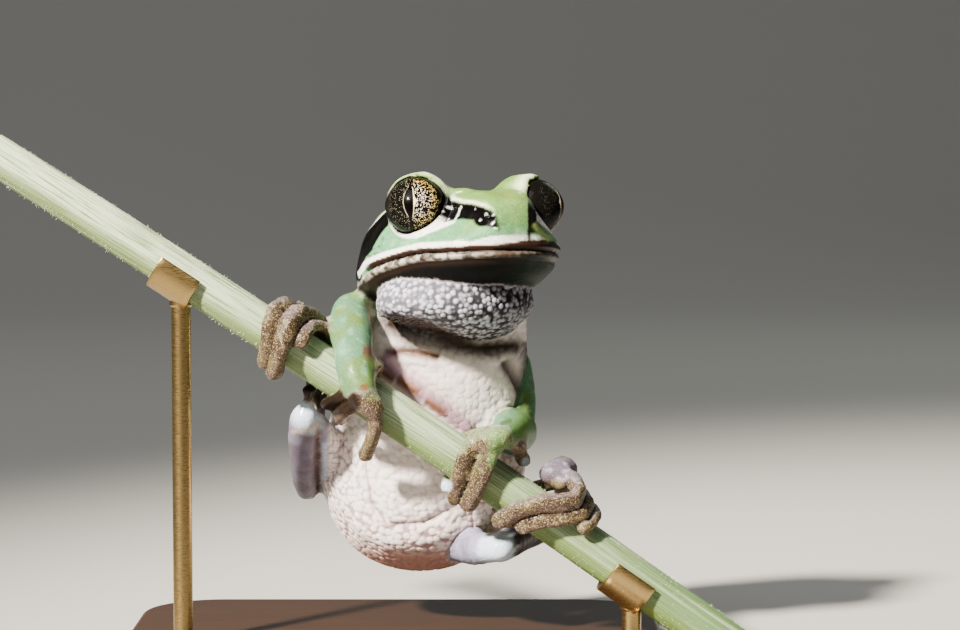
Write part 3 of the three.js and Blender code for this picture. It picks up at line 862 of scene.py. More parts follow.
    def granulate(self) -> None:
        """Raises the granules of belly and throat on the mesh itself."""
        upper_chest = ramp(self.seen[:, 1], 470, 400) * 0.45
        belly = self.limbs[Part.TRUNK] * (1 - self.dorsal()) * (1 - upper_chest * self.to_front)
        belly += 0.3 * self.limbs[Part.THIGH] * (1 - ramp(self.normal[:, 1], 0, 0.6)) + self.flank()
        throat = np.clip(self.limbs[Part.THROAT] * 1.3 - 0.1, 0, 1)
        self.belly_grain = np.clip(belly, 0, 1) * (1 - throat)
        self.throat_grain = throat
        self.surface.write()
        domes = self.measure_domes()
        push = self.belly_height * self.belly_grain * domes["dome_belly"]
        push += self.throat_height * throat * domes["dome_throat"]
        self.surface.points += push[:, None] * self.normal

    def measure_domes(self) -> dict[str, Values]:
        """Evaluates the granule pattern of the finish at every vertex."""
        tree = bpy.data.node_groups.new("granules", "GeometryNodeTree")
        for way in ("INPUT", "OUTPUT"):
            tree.interface.new_socket("Geometry", in_out=way, socket_type="NodeSocketGeometry")
        geometry = add_node(tree, "NodeGroupInput").outputs[0]
        position = add_node(tree, "GeometryNodeInputPosition").outputs[0]
        patterns = (
            ("dome_belly", self.belly_pebble, BELLY_REACH),
            ("dome_throat", self.throat_pebble, THROAT_REACH),
        )
        for name, size, reach in patterns:
            values = {"Geometry": geometry, "Name": name, "Value": granule_dome(tree, position, size, reach)}
            kind = {"data_type": "FLOAT", "domain": "POINT"}
            geometry = add_node(tree, "GeometryNodeStoreNamedAttribute", values, **kind).outputs[0]
        add_node(tree, "NodeGroupOutput", {0: geometry})
        apply_modifier(self.obj, "NODES", node_group=tree)
        domes = {}
        for name, _, _ in patterns:
            kept = self.obj.data.attributes[name]
            domes[name] = read_many(kept.data, "value", 1)[:, 0]
            self.obj.data.attributes.remove(kept)
        bpy.data.node_groups.remove(tree)
        return domes

    def dorsal(self) -> Values:
        """How far each vertex lies on the green back side of the trunk, 0 to 1."""
        _, y, z = self.surface.points.T
        wavy = 1.2 * (cloudy(self.surface.points, 4, 11) - 0.5)
        nape = ramp(z, -6, -2) * ramp(y, 17, 20)
        return np.maximum(ramp(y - keyed(-z, BACKBONE) + wavy, 2.4, 3.2), nape)

    def paint(self) -> None:
        """Gives each vertex the colour of its skin, painted light and shade included, and of the seams
        between its granules.
        """
        painter = Painter(self)
        kept = {
            "paint": painter.paint(), "mortar": painter.mortar(), "belly_grain": self.belly_grain,
            "throat_grain": self.throat_grain, "mottle": painter.mottle, "fleck": painter.fleck,
            "gloss": np.clip(painter.gloss, -1, 1),
        }
        for name, values in kept.items():
            store(self.obj.data, name, values)


@dataclass(frozen=True)
class Fold:
    """A fold or roll of skin on the front, along a path in the front view."""

    path: Path
    height: float  # mm, inward if negative
    width: float  # half width in view units
    ends: float = 0.12


# The backbone's depth at each height below the stem's middle, mm.
BACKBONE = [
    (-11, 9), (-5, 11.4), (2.5, 13.8), (9, 15.3), (16.2, 17.5), (21.8, 19.5), (27.2, 22), (31.6, 25),
    (37, 30),
]

# Where the throat's lower line rises: its middle, half width and half height in view units, and mm.
THROAT_LIFT = (418, 340, 40, 26, 1.7)

BODY_FOLDS = (
    Fold([(380, 318), (405, 329), (440, 341), (480, 348), (524, 344)], -0.6, 5.5),
    Fold([(384, 300), (392, 322), (418, 336), (450, 346)], 0.25, 4),
    Fold([(382, 354), (405, 352), (442, 358)], -0.75, 3.6),
    Fold([(384, 361), (410, 360), (445, 366)], 0.35, 4),
    Fold([(500, 358), (512, 372), (522, 392), (527, 410)], -0.8, 5),
    Fold([(484, 352), (500, 366), (508, 384), (512, 400)], 0.35, 5),
    Fold([(378, 352), (396, 372), (420, 391), (452, 416), (478, 438)], 0.95, 6),
    Fold([(388, 350), (408, 372), (432, 388), (462, 412), (486, 434)], -0.45, 3.5),
    Fold([(362, 450), (366, 482), (374, 508), (388, 526)], -0.42, 3.2),
    Fold([(388, 526), (424, 523), (448, 511), (470, 492)], -0.5, 3.4),
    Fold([(352, 520), (388, 541), (430, 540), (462, 520)], 0.6, 10),
    Fold([(338, 470), (346, 505), (362, 528)], 0.3, 7),
)


@dataclass(frozen=True)
class Face:
    """The lines of the face, seen from the side: forward and up in the head's frame, mm."""

    mouth: tuple = (
        (-12, -10.3), (-8.3, -9.2), (-4.7, -8.45), (-1.2, -7.95), (1.8, -7.6), (4.4, -7.5), (7.5, -7.65),
        (12.8, -7.75),
    )
    mouth_corner: float = -8.4
    ridge: tuple = ((2.6, 3.4), (4.8, 1.0), (6.8, 0.4), (9, 0.0), (10.8, -0.7), (12, -1.7), (12.8, -3.4))
    hollow: tuple = ((5.2, -1.0), (7.6, -1.6), (9.6, -2.4))
    nostril: tuple = (11.5, -2.2)
    nose_line: tuple = ((6.75, -0.4), (6.7, -2.2))
    stripe: tuple = (
        (3.0, 3.2), (4.8, 0.8), (6.8, 0.1), (8.8, -0.3), (10.6, -1.0), (11.7, -1.8), (12.5, -2.9),
        (12.8, -4.2), (12.9, -5.3), (12.6, -4.6), (11.9, -4.1), (10.9, -3.9), (10.1, -3.3), (9.4, -2.6),
        (7.7, -2.25), (6.2, -2.3), (4.8, -2.6), (3, -2),
    )
    ear_fold: tuple = ((-4.6, 1.0), (-7.2, -0.6), (-10, -3.2), (-12.5, -7.5), (-13.5, -12))
    ear_stripe: tuple = (
        (-4.0, 0.8), (-7.0, -0.4), (-10.4, -3.2), (-13, -8), (-14, -13), (-11.8, -13), (-10.2, -9.6),
        (-8.6, -7.0), (-6.6, -6.1), (-5.8, -4.7), (-5.1, -3.6), (-4.2, -2.4),
    )
    white_band: tuple = (
        (-12, -8.9), (-8.4, -7.3), (-2.8, -6.5), (1.7, -6.05), (4.1, -5.8), (7.6, -6.0), (10.9, -6.25),
        (12.6, -5.6),
    )
    tear: tuple = ((1.2, -4.6), (3.4, -3.5), (5.0, -2.6), (6.9, -2.4), (6.9, -2.9), (5.4, -4.0), (3.0, -4.9))


FACE = Face()


class Wash:
    """A colour for every vertex, laid on wash by wash."""

    def __init__(self, count: int, hexcode: str) -> None:
        """Starts with one flat colour."""
        self.colour = np.tile(np.array(linear(hexcode)), (count, 1))

    def lay(self, part: Values, *tints: tuple[str, Values | float]) -> None:
        """Lays colours over a part, one after the other, each by its share at each vertex."""
        for hexcode, share in tints:
            cover = np.clip(part * share, 0, 1)
            self.colour += cover[:, None] * (np.array(linear(hexcode)) - self.colour)


class Painter:
    """Lays the leaf frog's colours on its skin."""

    def __init__(self, skin: FrogSkin) -> None:
        """Takes the finished skin, whose places and parts it reads."""
        self.skin = skin
        self.points = skin.surface.points
        clouds = ((2.4, 21), (1.1, 22), (0.5, 23))
        self.coarse, self.middle, self.fine = (cloudy(self.points, size, seed) for size, seed in clouds)
        self.specks = ramp(cloudy(self.points, 0.42, 24), 0.62, 0.8)
        self.mottle, self.fleck, self.gloss = np.zeros((3, len(self.points)))
        self.granules = np.clip(skin.throat_grain, 0, 1)
        self.head = skin.limbs[Part.HEAD] * ramp(skin.over_mouth, -0.25, 0.05)
        self.forward, self.right, self.up = skin.local.T
        self.lateral = ramp(skin.aside, 2.4, 3.6)

    def paint(self) -> Values:
        """The colour of every vertex."""
        wash = Wash(len(self.points), "#F0E4DE")
        body = (self.trunk, self.throat, self.arms, self.legs, self.digits)
        face = (self.crown, self.stripes, self.pale_marks, self.rims, self.lips, self.far_side, self.jaw)
        for layer in body + face:
            layer(wash)
        return wash.colour

    def tint_lines(self, wash: Wash, tints: tuple[Crease, ...], part: Values | float = 1.0) -> None:
        """Lays tints along lines of a part, some of them painted shade and painted shadows."""
        for path, width, tint, share in tints:
            wash.lay(self.skin.mark(path, width, part), (tint, share))

    def trunk(self, wash: Wash) -> None:
        """Cream belly and breast with painted orange-brown shade under the belly, painted shade and shadows
        along its lines, and a green back edged with white.
        """
        skin = self.skin
        trunk, dorsal = skin.limbs[Part.TRUNK], skin.dorsal()
        _, y, z = self.points.T
        # Painted shade: orange-brown on the belly's downward faces.
        under = ramp(-skin.normal[:, 2], 0.4, 0.85) * ramp(z, -36, -40)
        wash.lay(trunk, ("#DCC6C2", 0.25 * ramp(self.coarse, 0.3, 0.8)), ("#A4643F", 0.85 * under))
        self.tint_lines(wash, TRUNK_FOLD_AND_SHADE_TINTS, trunk)
        nape = ramp(z, -6, -2) * ramp(y, 15, 18)
        edge = ramp(dorsal, 0.02, 0.3) * ramp(dorsal, 0.98, 0.7) * (1 - nape)
        dark = 0.5 * dorsal * ramp(self.coarse, 0.35, 0.75)
        wash.lay(trunk, ("#6E9F4A", dorsal), ("#4F8A3C", dark), ("#EEF0DC", edge))
        self.mottle += 0.5 * trunk * dorsal

    def throat(self, wash: Wash) -> None:
        """Grey throat with white granules and painted shade towards its right, the brown fold under it
        deepened by painted shade, and a near-black jaw that is partly painted shade.
        """
        skin = self.skin
        shade = 0.75 * ramp(skin.seen[:, 0], 455, 530)
        blotch = 0.5 * ramp(self.coarse, 0.3, 0.8)
        wash.lay(self.granules, ("#CDCFDA", 1), ("#A3A1B0", blotch), ("#6E6C74", shade))
        self.tint_lines(wash, BODY_FOLD_AND_SHADE_TINTS, np.clip(skin.limbs[Part.TRUNK] + skin.limbs[Part.THROAT], 0, 1))
        # The jaw: dark brown skin taken near black as painted shade.
        jaw = skin.limbs[Part.JAW] * (1 - self.granules)
        wash.lay(jaw, ("#1E1712", 1), ("#0E0C0A", 0.6 * ramp(self.middle, 0.3, 0.7)))

    def arms(self, wash: Wash) -> None:
        """Mint green arms with yellow-green clouds, cream inside the elbow."""
        arm = self.skin.limbs[Part.ARM]
        cloud, light = 0.8 * ramp(self.coarse, 0.4, 0.7), 0.3 * ramp(self.middle, 0.6, 0.85)
        wash.lay(arm, ("#557C5C", 1), ("#5E7434", cloud), ("#93BB96", light))
        self.tint_lines(wash, ARM_TINTS, arm)
        self.mottle += 0.6 * arm

    def legs(self, wash: Wash) -> None:
        """Bluish white knees, purple-grey shanks, green where the limbs face outward and back, and painted
        shade behind the left knee and along dark bands of the legs.
        """
        skin = self.skin
        back = ramp(skin.normal[:, 1], 0.25, 0.5)
        edge = ramp(skin.normal[:, 1], 0.12, 0.22) * (1 - back)
        dusk = 0.45 * ramp(self.coarse, 0.4, 0.75)
        for part, tint in ((Part.THIGH, "#8A8DA4"), (Part.SHANK, "#6F6A7A"), (Part.TARSUS, "#6F6A7A")):
            wash.lay(skin.limbs[part], (tint, 1), ("#54454C", dusk), ("#E6E6D2", edge), ("#5F9A46", back))
        shin = skin.limbs[Part.SHANK] + skin.limbs[Part.THIGH]
        for *middle, radius in KNEES:
            gap = np.linalg.norm(self.points - np.array(middle), axis=1)
            knee = ramp(gap, radius + 1.4, radius - 0.2) * np.clip(shin, 0, 1)
            wash.lay(knee, ("#C3D2E2", 1))
            self.gloss += knee
        limbs = np.clip(shin + skin.limbs[Part.TARSUS], 0, 1)
        # Painted shade over the front of the left leg behind its knee.
        hollow = ramp(self.points[:, 0], 4.6, 6.2) * ramp(self.points[:, 2], -28, -31) * skin.to_front
        wash.lay(limbs, ("#33231B", 0.95 * hollow))
        self.tint_lines(wash, LEG_MARK_AND_SHADE_TINTS, limbs)
        wash.lay(skin.flank(), ("#EFE3DC", 1))
        self.mottle += 0.5 * limbs

    def digits(self, wash: Wash) -> None:
        """Olive-brown digits with gold and cream specks and pale tips, a lilac painted highlight on their
        tops, and painted shade in the grooves between them and over digits that lie in shade.
        """
        skin = self.skin
        hand, front, rise = skin.limbs[Part.HAND], skin.to_front, skin.normal[:, 2]
        digit = np.clip(hand + skin.limbs[Part.FOOT], 0, 1)
        x, y = skin.seen.T
        heel = ramp(x, 484, 494) * ramp(x, 514, 506) * ramp(y, 474, 462) * ramp(y, 425, 432) * front
        # Pinkish undersides, random tones, a lilac painted highlight on upward faces, specks, and dark
        # painted shade in the grooves between digits.
        wash.lay(
            digit,
            ("#3A2D22", 1),
            ("#7A6262", 0.5 * ramp(-rise, -0.1, 0.8)),
            ("#5E5334", 0.6 * ramp(self.coarse, 0.45, 0.8)),
            ("#8D8694", ramp(rise, 0.35, 0.85) * (0.2 + 0.3 * self.specks)),
            ("#A08C62", 0.3 * self.specks),
            ("#2A2018", 0.55 * ramp(self.fine, 0.4, 0.15)),
            ("#241A13", 0.85 * ramp(skin.groove, 0.25, 0.8)),
            ("#5E8048", 0.85 * hand * heel),
        )
        wash.lay(hand, ("#7F9E68", 0.5 * ramp(rise, 0.15, 0.6) * (1 - 0.3 * digit)))
        instep = digit * ramp(x, 536, 541) * ramp(x, 584, 574) * ramp(y, 484, 474) * front
        wash.lay(instep, ("#5F5767", 0.9), ("#B9B5C6", 0.5 * ramp(self.middle, 0.5, 0.75)))
        for u, v, size in DIGIT_TIPS:
            wash.lay(digit * front, ("#B4C3CF", ramp(np.hypot(x - u, y - v), size + 3, size - 1)))
        # Painted shade over a finger of the right hand and over the right foot just under the stem.
        shade = digit * ramp(np.hypot((x - 338) / 27, (y - 402) / 17), 1.0, 0.7) * front
        shade += digit * hump(np.hypot((x - 309) / 16, (y - 391) / 16), 1.0)
        wash.lay(shade, ("#1C130D", 0.95))
        self.mottle += digit
        self.fleck = digit * (1 - 0.6 * ramp(skin.groove, 0.2, 0.7))
        self.fleck *= 1 - np.clip(shade + instep * 0.6, 0, 1)

    def crown(self, wash: Wash) -> None:
        """The green head and nape, mint green on the sides with dark specks on the cheek."""
        skin, head, forward, up = self.skin, self.head, self.forward, self.up
        wash.lay(head, ("#62833F", 1))
        nape = skin.limbs[Part.HEAD] + skin.limbs[Part.TRUNK] * ramp(self.points[:, 2], -5, -1)
        nape = np.clip(nape, 0, 1) * ramp(forward, -12.5, -14.5) * ramp(self.points[:, 1], 13, 16)
        wash.lay(nape, ("#5B8440", 1))
        brow = hump(np.hypot(forward - 8.5, self.right + 0.5), 2.6) * ramp(up, -1, 1.2)
        low = ramp(up, 0.2, -2.2) * ramp(forward, -14, -9)
        low *= 1 - ramp(forward, 7.5, 9.5) * ramp(up, -6.5, -2.5) * 0.8
        cheek = ramp(forward, -3.2, -5.2) * ramp(forward, -14, -11) * low
        wash.lay(
            head,
            ("#7E9F50", 0.5 * ramp(self.coarse, 0.45, 0.75)),
            ("#7F8F3E", 0.6 * brow),
            ("#5A9166", low),
            ("#8CBF8C", 0.4 * low * ramp(self.middle, 0.5, 0.8)),
            ("#22301F", 0.75 * cheek * ramp(self.fine, 0.55, 0.72)),
        )
        self.mottle += 0.75 * head

    def stripes(self, wash: Wash) -> None:
        """The black stripes before and behind the eye, each with a pale upper edge; the one before the eye
        lies on the muzzle's ridge and is partly a painted highlight.
        """
        skin, side = self.skin, self.skin.profile
        gap, share = near_path(side, FACE.stripe[:9])
        # Pale line on the ridge above the stripe: partly the skin's pale edge, partly a painted highlight.
        edge = hump(gap - 0.22, 0.22) * ramp(share, 0.1, 0.25) * ramp(share, 0.78, 0.6)
        stripe = within(side, list(FACE.stripe), 0.16) * self.lateral
        stripe *= 1 - ramp(self.up, 1.0, 1.8) * ramp(skin.aside, 7.4, 6.4)
        wash.lay(self.head, ("#E4EBCB", edge * self.lateral), ("#060505", stripe))
        body = np.clip(self.head + skin.limbs[Part.TRUNK] * ramp(self.points[:, 2], -8, -2), 0, 1)
        body *= ramp(skin.aside, 6, 8)
        gap, share = near_path(side, FACE.ear_stripe[:5])
        edge = hump(gap - 0.2, 0.32) * ramp(share, 0.03, 0.1) * ramp(self.forward, -14.2, -13.0)
        ear = within(side, list(FACE.ear_stripe), 0.2)
        wash.lay(body, ("#F2F4EE", edge), ("#070605", ear))
        self.gloss += self.head * stripe + body * ear

    def pale_marks(self, wash: Wash) -> None:
        """The white specks in the stripe, partly painted wet highlights, the white lip band and the crescent
        under the eye.
        """
        skin, side, forward = self.skin, self.skin.profile, self.forward
        for x, z, size in FACE_SPECKS_AND_HIGHLIGHTS:
            speck = np.hypot(side[:, 0] - x, side[:, 1] - z)
            wash.lay(self.head * self.lateral, ("#F3F5F0", ramp(speck, size + 0.14, size - 0.02)))
        line, _ = near_path(side, FACE.nose_line)
        wash.lay(self.head * self.lateral, ("#F1F3EE", ramp(line, 0.17, 0.06)))
        band = within(side, self.band(), 0.12) * ramp(forward, -13.2, -12.0)
        crescent = ramp(skin.eye_gap - 0.45 * ramp(forward, -2, 3), 0.85, 0.5)
        crescent *= ramp(self.up, -1.6, -2.6) * ramp(forward, -4.4, -2.6)
        wide = within(side, list(FACE.tear), 0.25) * self.lateral
        wash.lay(self.head, ("#F4F1EA", band), ("#F6F3EC", np.clip(0.95 * crescent + wide, 0, 1)))

    def band(self) -> Path:
        """The outline of the white band over the mouth, seen from the side."""
        bottom = [(x, z + 0.5) for x, z in reversed(FACE.mouth)]
        return [*FACE.white_band, (13.4, -5.6), (13.4, -7.2), *bottom]

    def rims(self, wash: Wash) -> None:
        """The dark lid edges with a yellow rim above, and the muzzle's grey and brown tip."""
        skin, up = self.skin, self.up
        tip = ramp(self.forward, 11.6, 12.4) * ramp(self.right, 1.2, 0.2)
        wash.lay(
            self.head,
            ("#12100D", ramp(skin.eye_gap, 0.62, 0.4) * ramp(up, 3.6, 2.6)),
            ("#DCE8B8", 0.8 * hump(skin.eye_gap - 0.75, 0.4) * ramp(up, 1.5, 3.0)),
            ("#A9BFA0", 0.4 * tip * ramp(up, -4.2, -5.6)),
            ("#3C2A20", 0.8 * tip * ramp(up, -5.4, -6.6) * ramp(self.fine, 0.5, 0.65)),
        )

    def lips(self, wash: Wash) -> None:
        """The dark upper lip, thicker on the far side, with a brown edge."""
        skin, forward, over = self.skin, self.forward, self.skin.over_mouth
        thick = 0.75 * ramp(self.right, 4, -3) * ramp(forward, 4, 9)
        dark = ramp(over - thick, 0.92, 0.74) * ramp(over, -0.3, -0.12)
        lip = skin.face * ramp(forward, -9.5, -6)
        wash.lay(lip, ("#24150F", dark), ("#6A4434", 0.22 * hump(over - thick - 0.6, 0.16)))

    def far_side(self, wash: Wash) -> None:
        """The stripe and the lid of the far eye where the front view meets them, and a painted highlight as a
        white crescent there.
        """
        x, y = self.skin.seen.T
        corner = ramp(x, 527.0, 528.4) * ramp(y, 196, 200) * ramp(y, 236, 232) * self.skin.to_front
        wash.lay(self.head, ("#0A0908", corner))
        for path, width, tint, ends in FAR_EYE_MARKS_AND_HIGHLIGHT:
            wash.lay(self.head, (tint, self.skin.mark(path, width, 1.0, ends)))

    def jaw(self, wash: Wash) -> None:
        """The lower lip: a whitish mottled band that fades towards the muzzle, brown under it, and the jaw's
        underside and far side painted dark as shade.
        """
        skin, over, forward = self.skin, self.skin.over_mouth, self.forward
        bare = 1 - self.granules
        corner = ramp(forward, -10, -7)
        lip = skin.face * ramp(over, -0.12, -0.3) * ramp(over, -1.35, -1.0) * corner
        wash.lay(
            lip,
            ("#2B1D16", 1),
            ("#BDB6A6", 0.15 + 0.85 * ramp(skin.seen[:, 0], 520, 435)),
            ("#4A382B", 0.85 * ramp(self.fine, 0.42, 0.6)),
            ("#1E1610", 0.8 * ramp(cloudy(self.points, 0.8, 31), 0.5, 0.7)),
        )
        # Painted shade: near black under the jaw and dark green on its far side.
        under = ramp(over, -1.6, -2.4) * ramp(forward, -8, -4)
        far = ramp(self.right, 1.0, -3.0) * ramp(over, -0.3, -0.9)
        wash.lay(
            skin.face * bare,
            ("#1A110C", ramp(over, -1.05, -1.3) * corner),
            ("#070605", under),
            ("#0B1B11", 0.9 * far),
        )
        self.gloss -= skin.face * bare * under

    def mortar(self) -> Values:
        """The colour between the granules, with painted shade and shadows along the tinted lines and on the
        throat's right side.
        """
        skin = self.skin
        x, y = skin.seen.T
        wash = Wash(len(self.points), "#E2D5D3")
        wash.lay(ramp(x, 385, 340) * skin.to_front, ("#A08A99", 1))
        wash.lay(ramp(self.points[:, 2], -28, -36), ("#A27F80", 1))
        wash.lay(ramp(x, 450, 480) * ramp(y, 430, 470) * skin.to_front, ("#B58E86", 1))
        self.tint_lines(wash, TRUNK_FOLD_AND_SHADE_TINTS + BODY_FOLD_AND_SHADE_TINTS)
        # On the throat: grey seams darkening to near black towards the right as painted shade.
        wash.lay(self.granules, ("#5F5B66", 1), ("#1D1A1D", ramp(x + 0.5 * (y - 300), 415, 505)))
        self.tint_lines(wash, BODY_FOLD_AND_SHADE_TINTS[:1])
        return wash.colour

# Tints along lines: path in the front view, half width, colour and strength.
# On the trunk: painted shade in the breast's fold, the lilac roll above the stem, painted shadows cast under
# that roll, and painted shade along the belly's folds.
TRUNK_FOLD_AND_SHADE_TINTS = (
    ([(382, 354), (405, 352), (442, 358)], 6, "#5A3820", 0.95),
    ([(378, 352), (396, 372), (420, 391), (452, 416), (478, 438)], 11, "#97707F", 0.9),
    ([(381, 371), (395, 380)], 5, "#6E4222", 0.9),
    ([(398, 379), (421, 393)], 5.5, "#744724", 0.9),
    ([(425, 399), (446, 413)], 5, "#6E4222", 0.9),
    ([(364, 455), (370, 500), (388, 526), (424, 523), (448, 511)], 1.6, "#8C6B72", 0.8),
)
# Along the throat and breast: the brown fold under the throat deepened by painted shade, a brown band at the
# throat's left end, and painted shade down the breast's right side and edge.
BODY_FOLD_AND_SHADE_TINTS = (
    ([(378, 318), (398, 329), (420, 337), (448, 344), (480, 349), (528, 344)], 11, "#2A1D15", 1.0),
    ([(368, 292), (374, 312), (384, 324)], 9, "#4A3B2E", 0.8),
    ([(503, 360), (518, 385), (526, 408)], 8, "#33261F", 0.9),
    ([(527, 338), (525, 370), (529, 404)], 6, "#241B17", 0.9),
)
ARM_TINTS = (
    ([(362, 350), (374, 352), (382, 360)], 6.5, "#6E4640", 0.9),
    ([(362, 384), (368, 396)], 4.5, "#6E3E28", 0.9),
    ([(366, 300), (376, 330), (380, 345)], 3, "#9C8A78", 0.6),
    ([(494, 432), (506, 436)], 4, "#7C5A58", 0.8),
    ([(505, 446), (520, 432), (530, 410)], 13, "#56752E", 0.85),
    ([(500, 424), (512, 420)], 2.5, "#3A3A20", 0.7),
)
# Rows one, four, six and seven are painted shade: between the right shank and tarsus, under the stem above
# the right knee, and behind the left knee.
LEG_MARK_AND_SHADE_TINTS = (
    ([(318, 420), (319, 455), (317, 500)], 4.5, "#4A2E22", 0.9),
    ([(325, 440), (326, 470), (322, 503)], 3.2, "#B9C9DC", 0.9),
    ([(290, 440), (293, 480), (303, 505)], 3.5, "#4A3840", 0.6),
    ([(320, 392), (330, 410)], 9, "#2A1C16", 0.85),
    ([(290, 432), (306, 431), (321, 421)], 2.4, "#B9A488", 0.7),
    ([(524, 556), (536, 546), (556, 530)], 15, "#35241C", 0.92),
    ([(519, 560), (518, 540), (514, 525)], 4, "#2A1C16", 0.85),
)
# Marks round the far eye: path in the front view, half width, colour and fading share. The white crescent of
# the last row is a painted highlight.
FAR_EYE_MARKS_AND_HIGHLIGHT = (
    ([(528.5, 228), (530, 250)], 2.2, "#14110D", 0.1),
    ([(534, 222), (541, 231), (551, 241)], 3.2, "#8FA85C", 0.1),
    ([(536.8, 203), (537.6, 211), (541.5, 221)], 1.7, "#F7F8F4", 0.25),
)
# The bluish tips of three digits in the front view: place and radius.
DIGIT_TIPS = ((527, 464, 5), (446, 486, 5), (535, 476, 3))
# The white spots in the stripe before the eye, partly white skin dots and partly painted wet highlights:
# forward, up and radius, mm.
FACE_SPECKS_AND_HIGHLIGHTS = (
    (10.5, -2.75, 0.08), (11.1, -2.1, 0.06), (12.0, -2.5, 0.02), (12.2, -3.5, 0.02), (12.5, -4.5, 0.04),
    (5.6, -2.1, 0.08), (4.6, -2.0, 0.06), (4.75, 1.9, 0.1), (5.0, 0.9, 0.06), (4.9, -0.3, 0.08),
    (4.6, -1.2, 0.08), (9.2, -0.9, 0.0),
)
# The knees' middles and radii, layout mm.
KNEES = ((-26.3, 3.4, -15.6, 2.5), (2.9, 4.0, -36.9, 2.9))


# Where a granule ends and where its flat top starts, as shares of its spacing.
BELLY_REACH = (0.8, 0.4)
THROAT_REACH = (0.68, 0.26)


def granule_dome(
    tree: bpy.types.NodeTree, place: bpy.types.NodeSocket, size: float, reach: tuple[float, float]
) -> bpy.types.NodeSocket:
    """Nodes that give the height of a granule, 0 between granules and 1 on top.

    Args:
        tree: the node tree.
        place: the socket that gives the place, in metres.
        size: the granules' spacing, mm.
        reach: where a granule ends and where its flat top starts, as shares of the spacing.

    Returns:
        The socket with the height.
    """
    spread = {"Vector": place, "Scale": 1 / (size * MM), "Randomness": 0.78}
    cells = add_node(tree, "ShaderNodeTexVoronoi", spread, feature="F1")
    rise = {"Value": cells.outputs["Distance"], "From Min": reach[0], "From Max": reach[1]}
    return add_node(tree, "ShaderNodeMapRange", rise, interpolation_type="SMOOTHSTEP").outputs["Result"]


def work_out(
    tree: bpy.types.NodeTree, made: dict[str, object], steps: tuple[tuple[object, ...], ...]
) -> dict[str, object]:
    """Adds the nodes of a list of sums and colour mixes, each of which may use those before it.

    Args:
        tree: the material's node tree.
        made: the sockets known so far, by name.
        steps: for each node its own name, what it does and what feeds it: numbers, names of
            sockets or sRGB hex colours. STEP is a smooth step of a value between two numbers, FIT
            stretches a value from one range to another, MIX and TINT lay one colour over another by
            a share, and any other word is a sum of that name.

    Returns:
        The sockets, with the new ones added.
    """
    kinds = {
        "STEP": ("ShaderNodeMapRange", {"interpolation_type": "SMOOTHSTEP"}, (0, 1, 2), 0),
        "FIT": ("ShaderNodeMapRange", {}, (0, 1, 2, 3, 4), 0),
        "MIX": ("ShaderNodeMix", {"data_type": "RGBA"}, (0, 6, 7), 2),
        "TINT": ("ShaderNodeMix", {"data_type": "RGBA", "blend_type": "MULTIPLY"}, (0, 6, 7), 2),
    }
    for name, work, *feeds in steps:
        kind, settings, keys, result = kinds.get(work, ("ShaderNodeMath", {"operation": work}, (0, 1, 2), 0))
        fed = [made[f] if f in made else colour(f) if isinstance(f, str) else f for f in feeds]
        made[name] = add_node(tree, kind, dict(zip(keys, fed)), **settings).outputs[result]
    return made


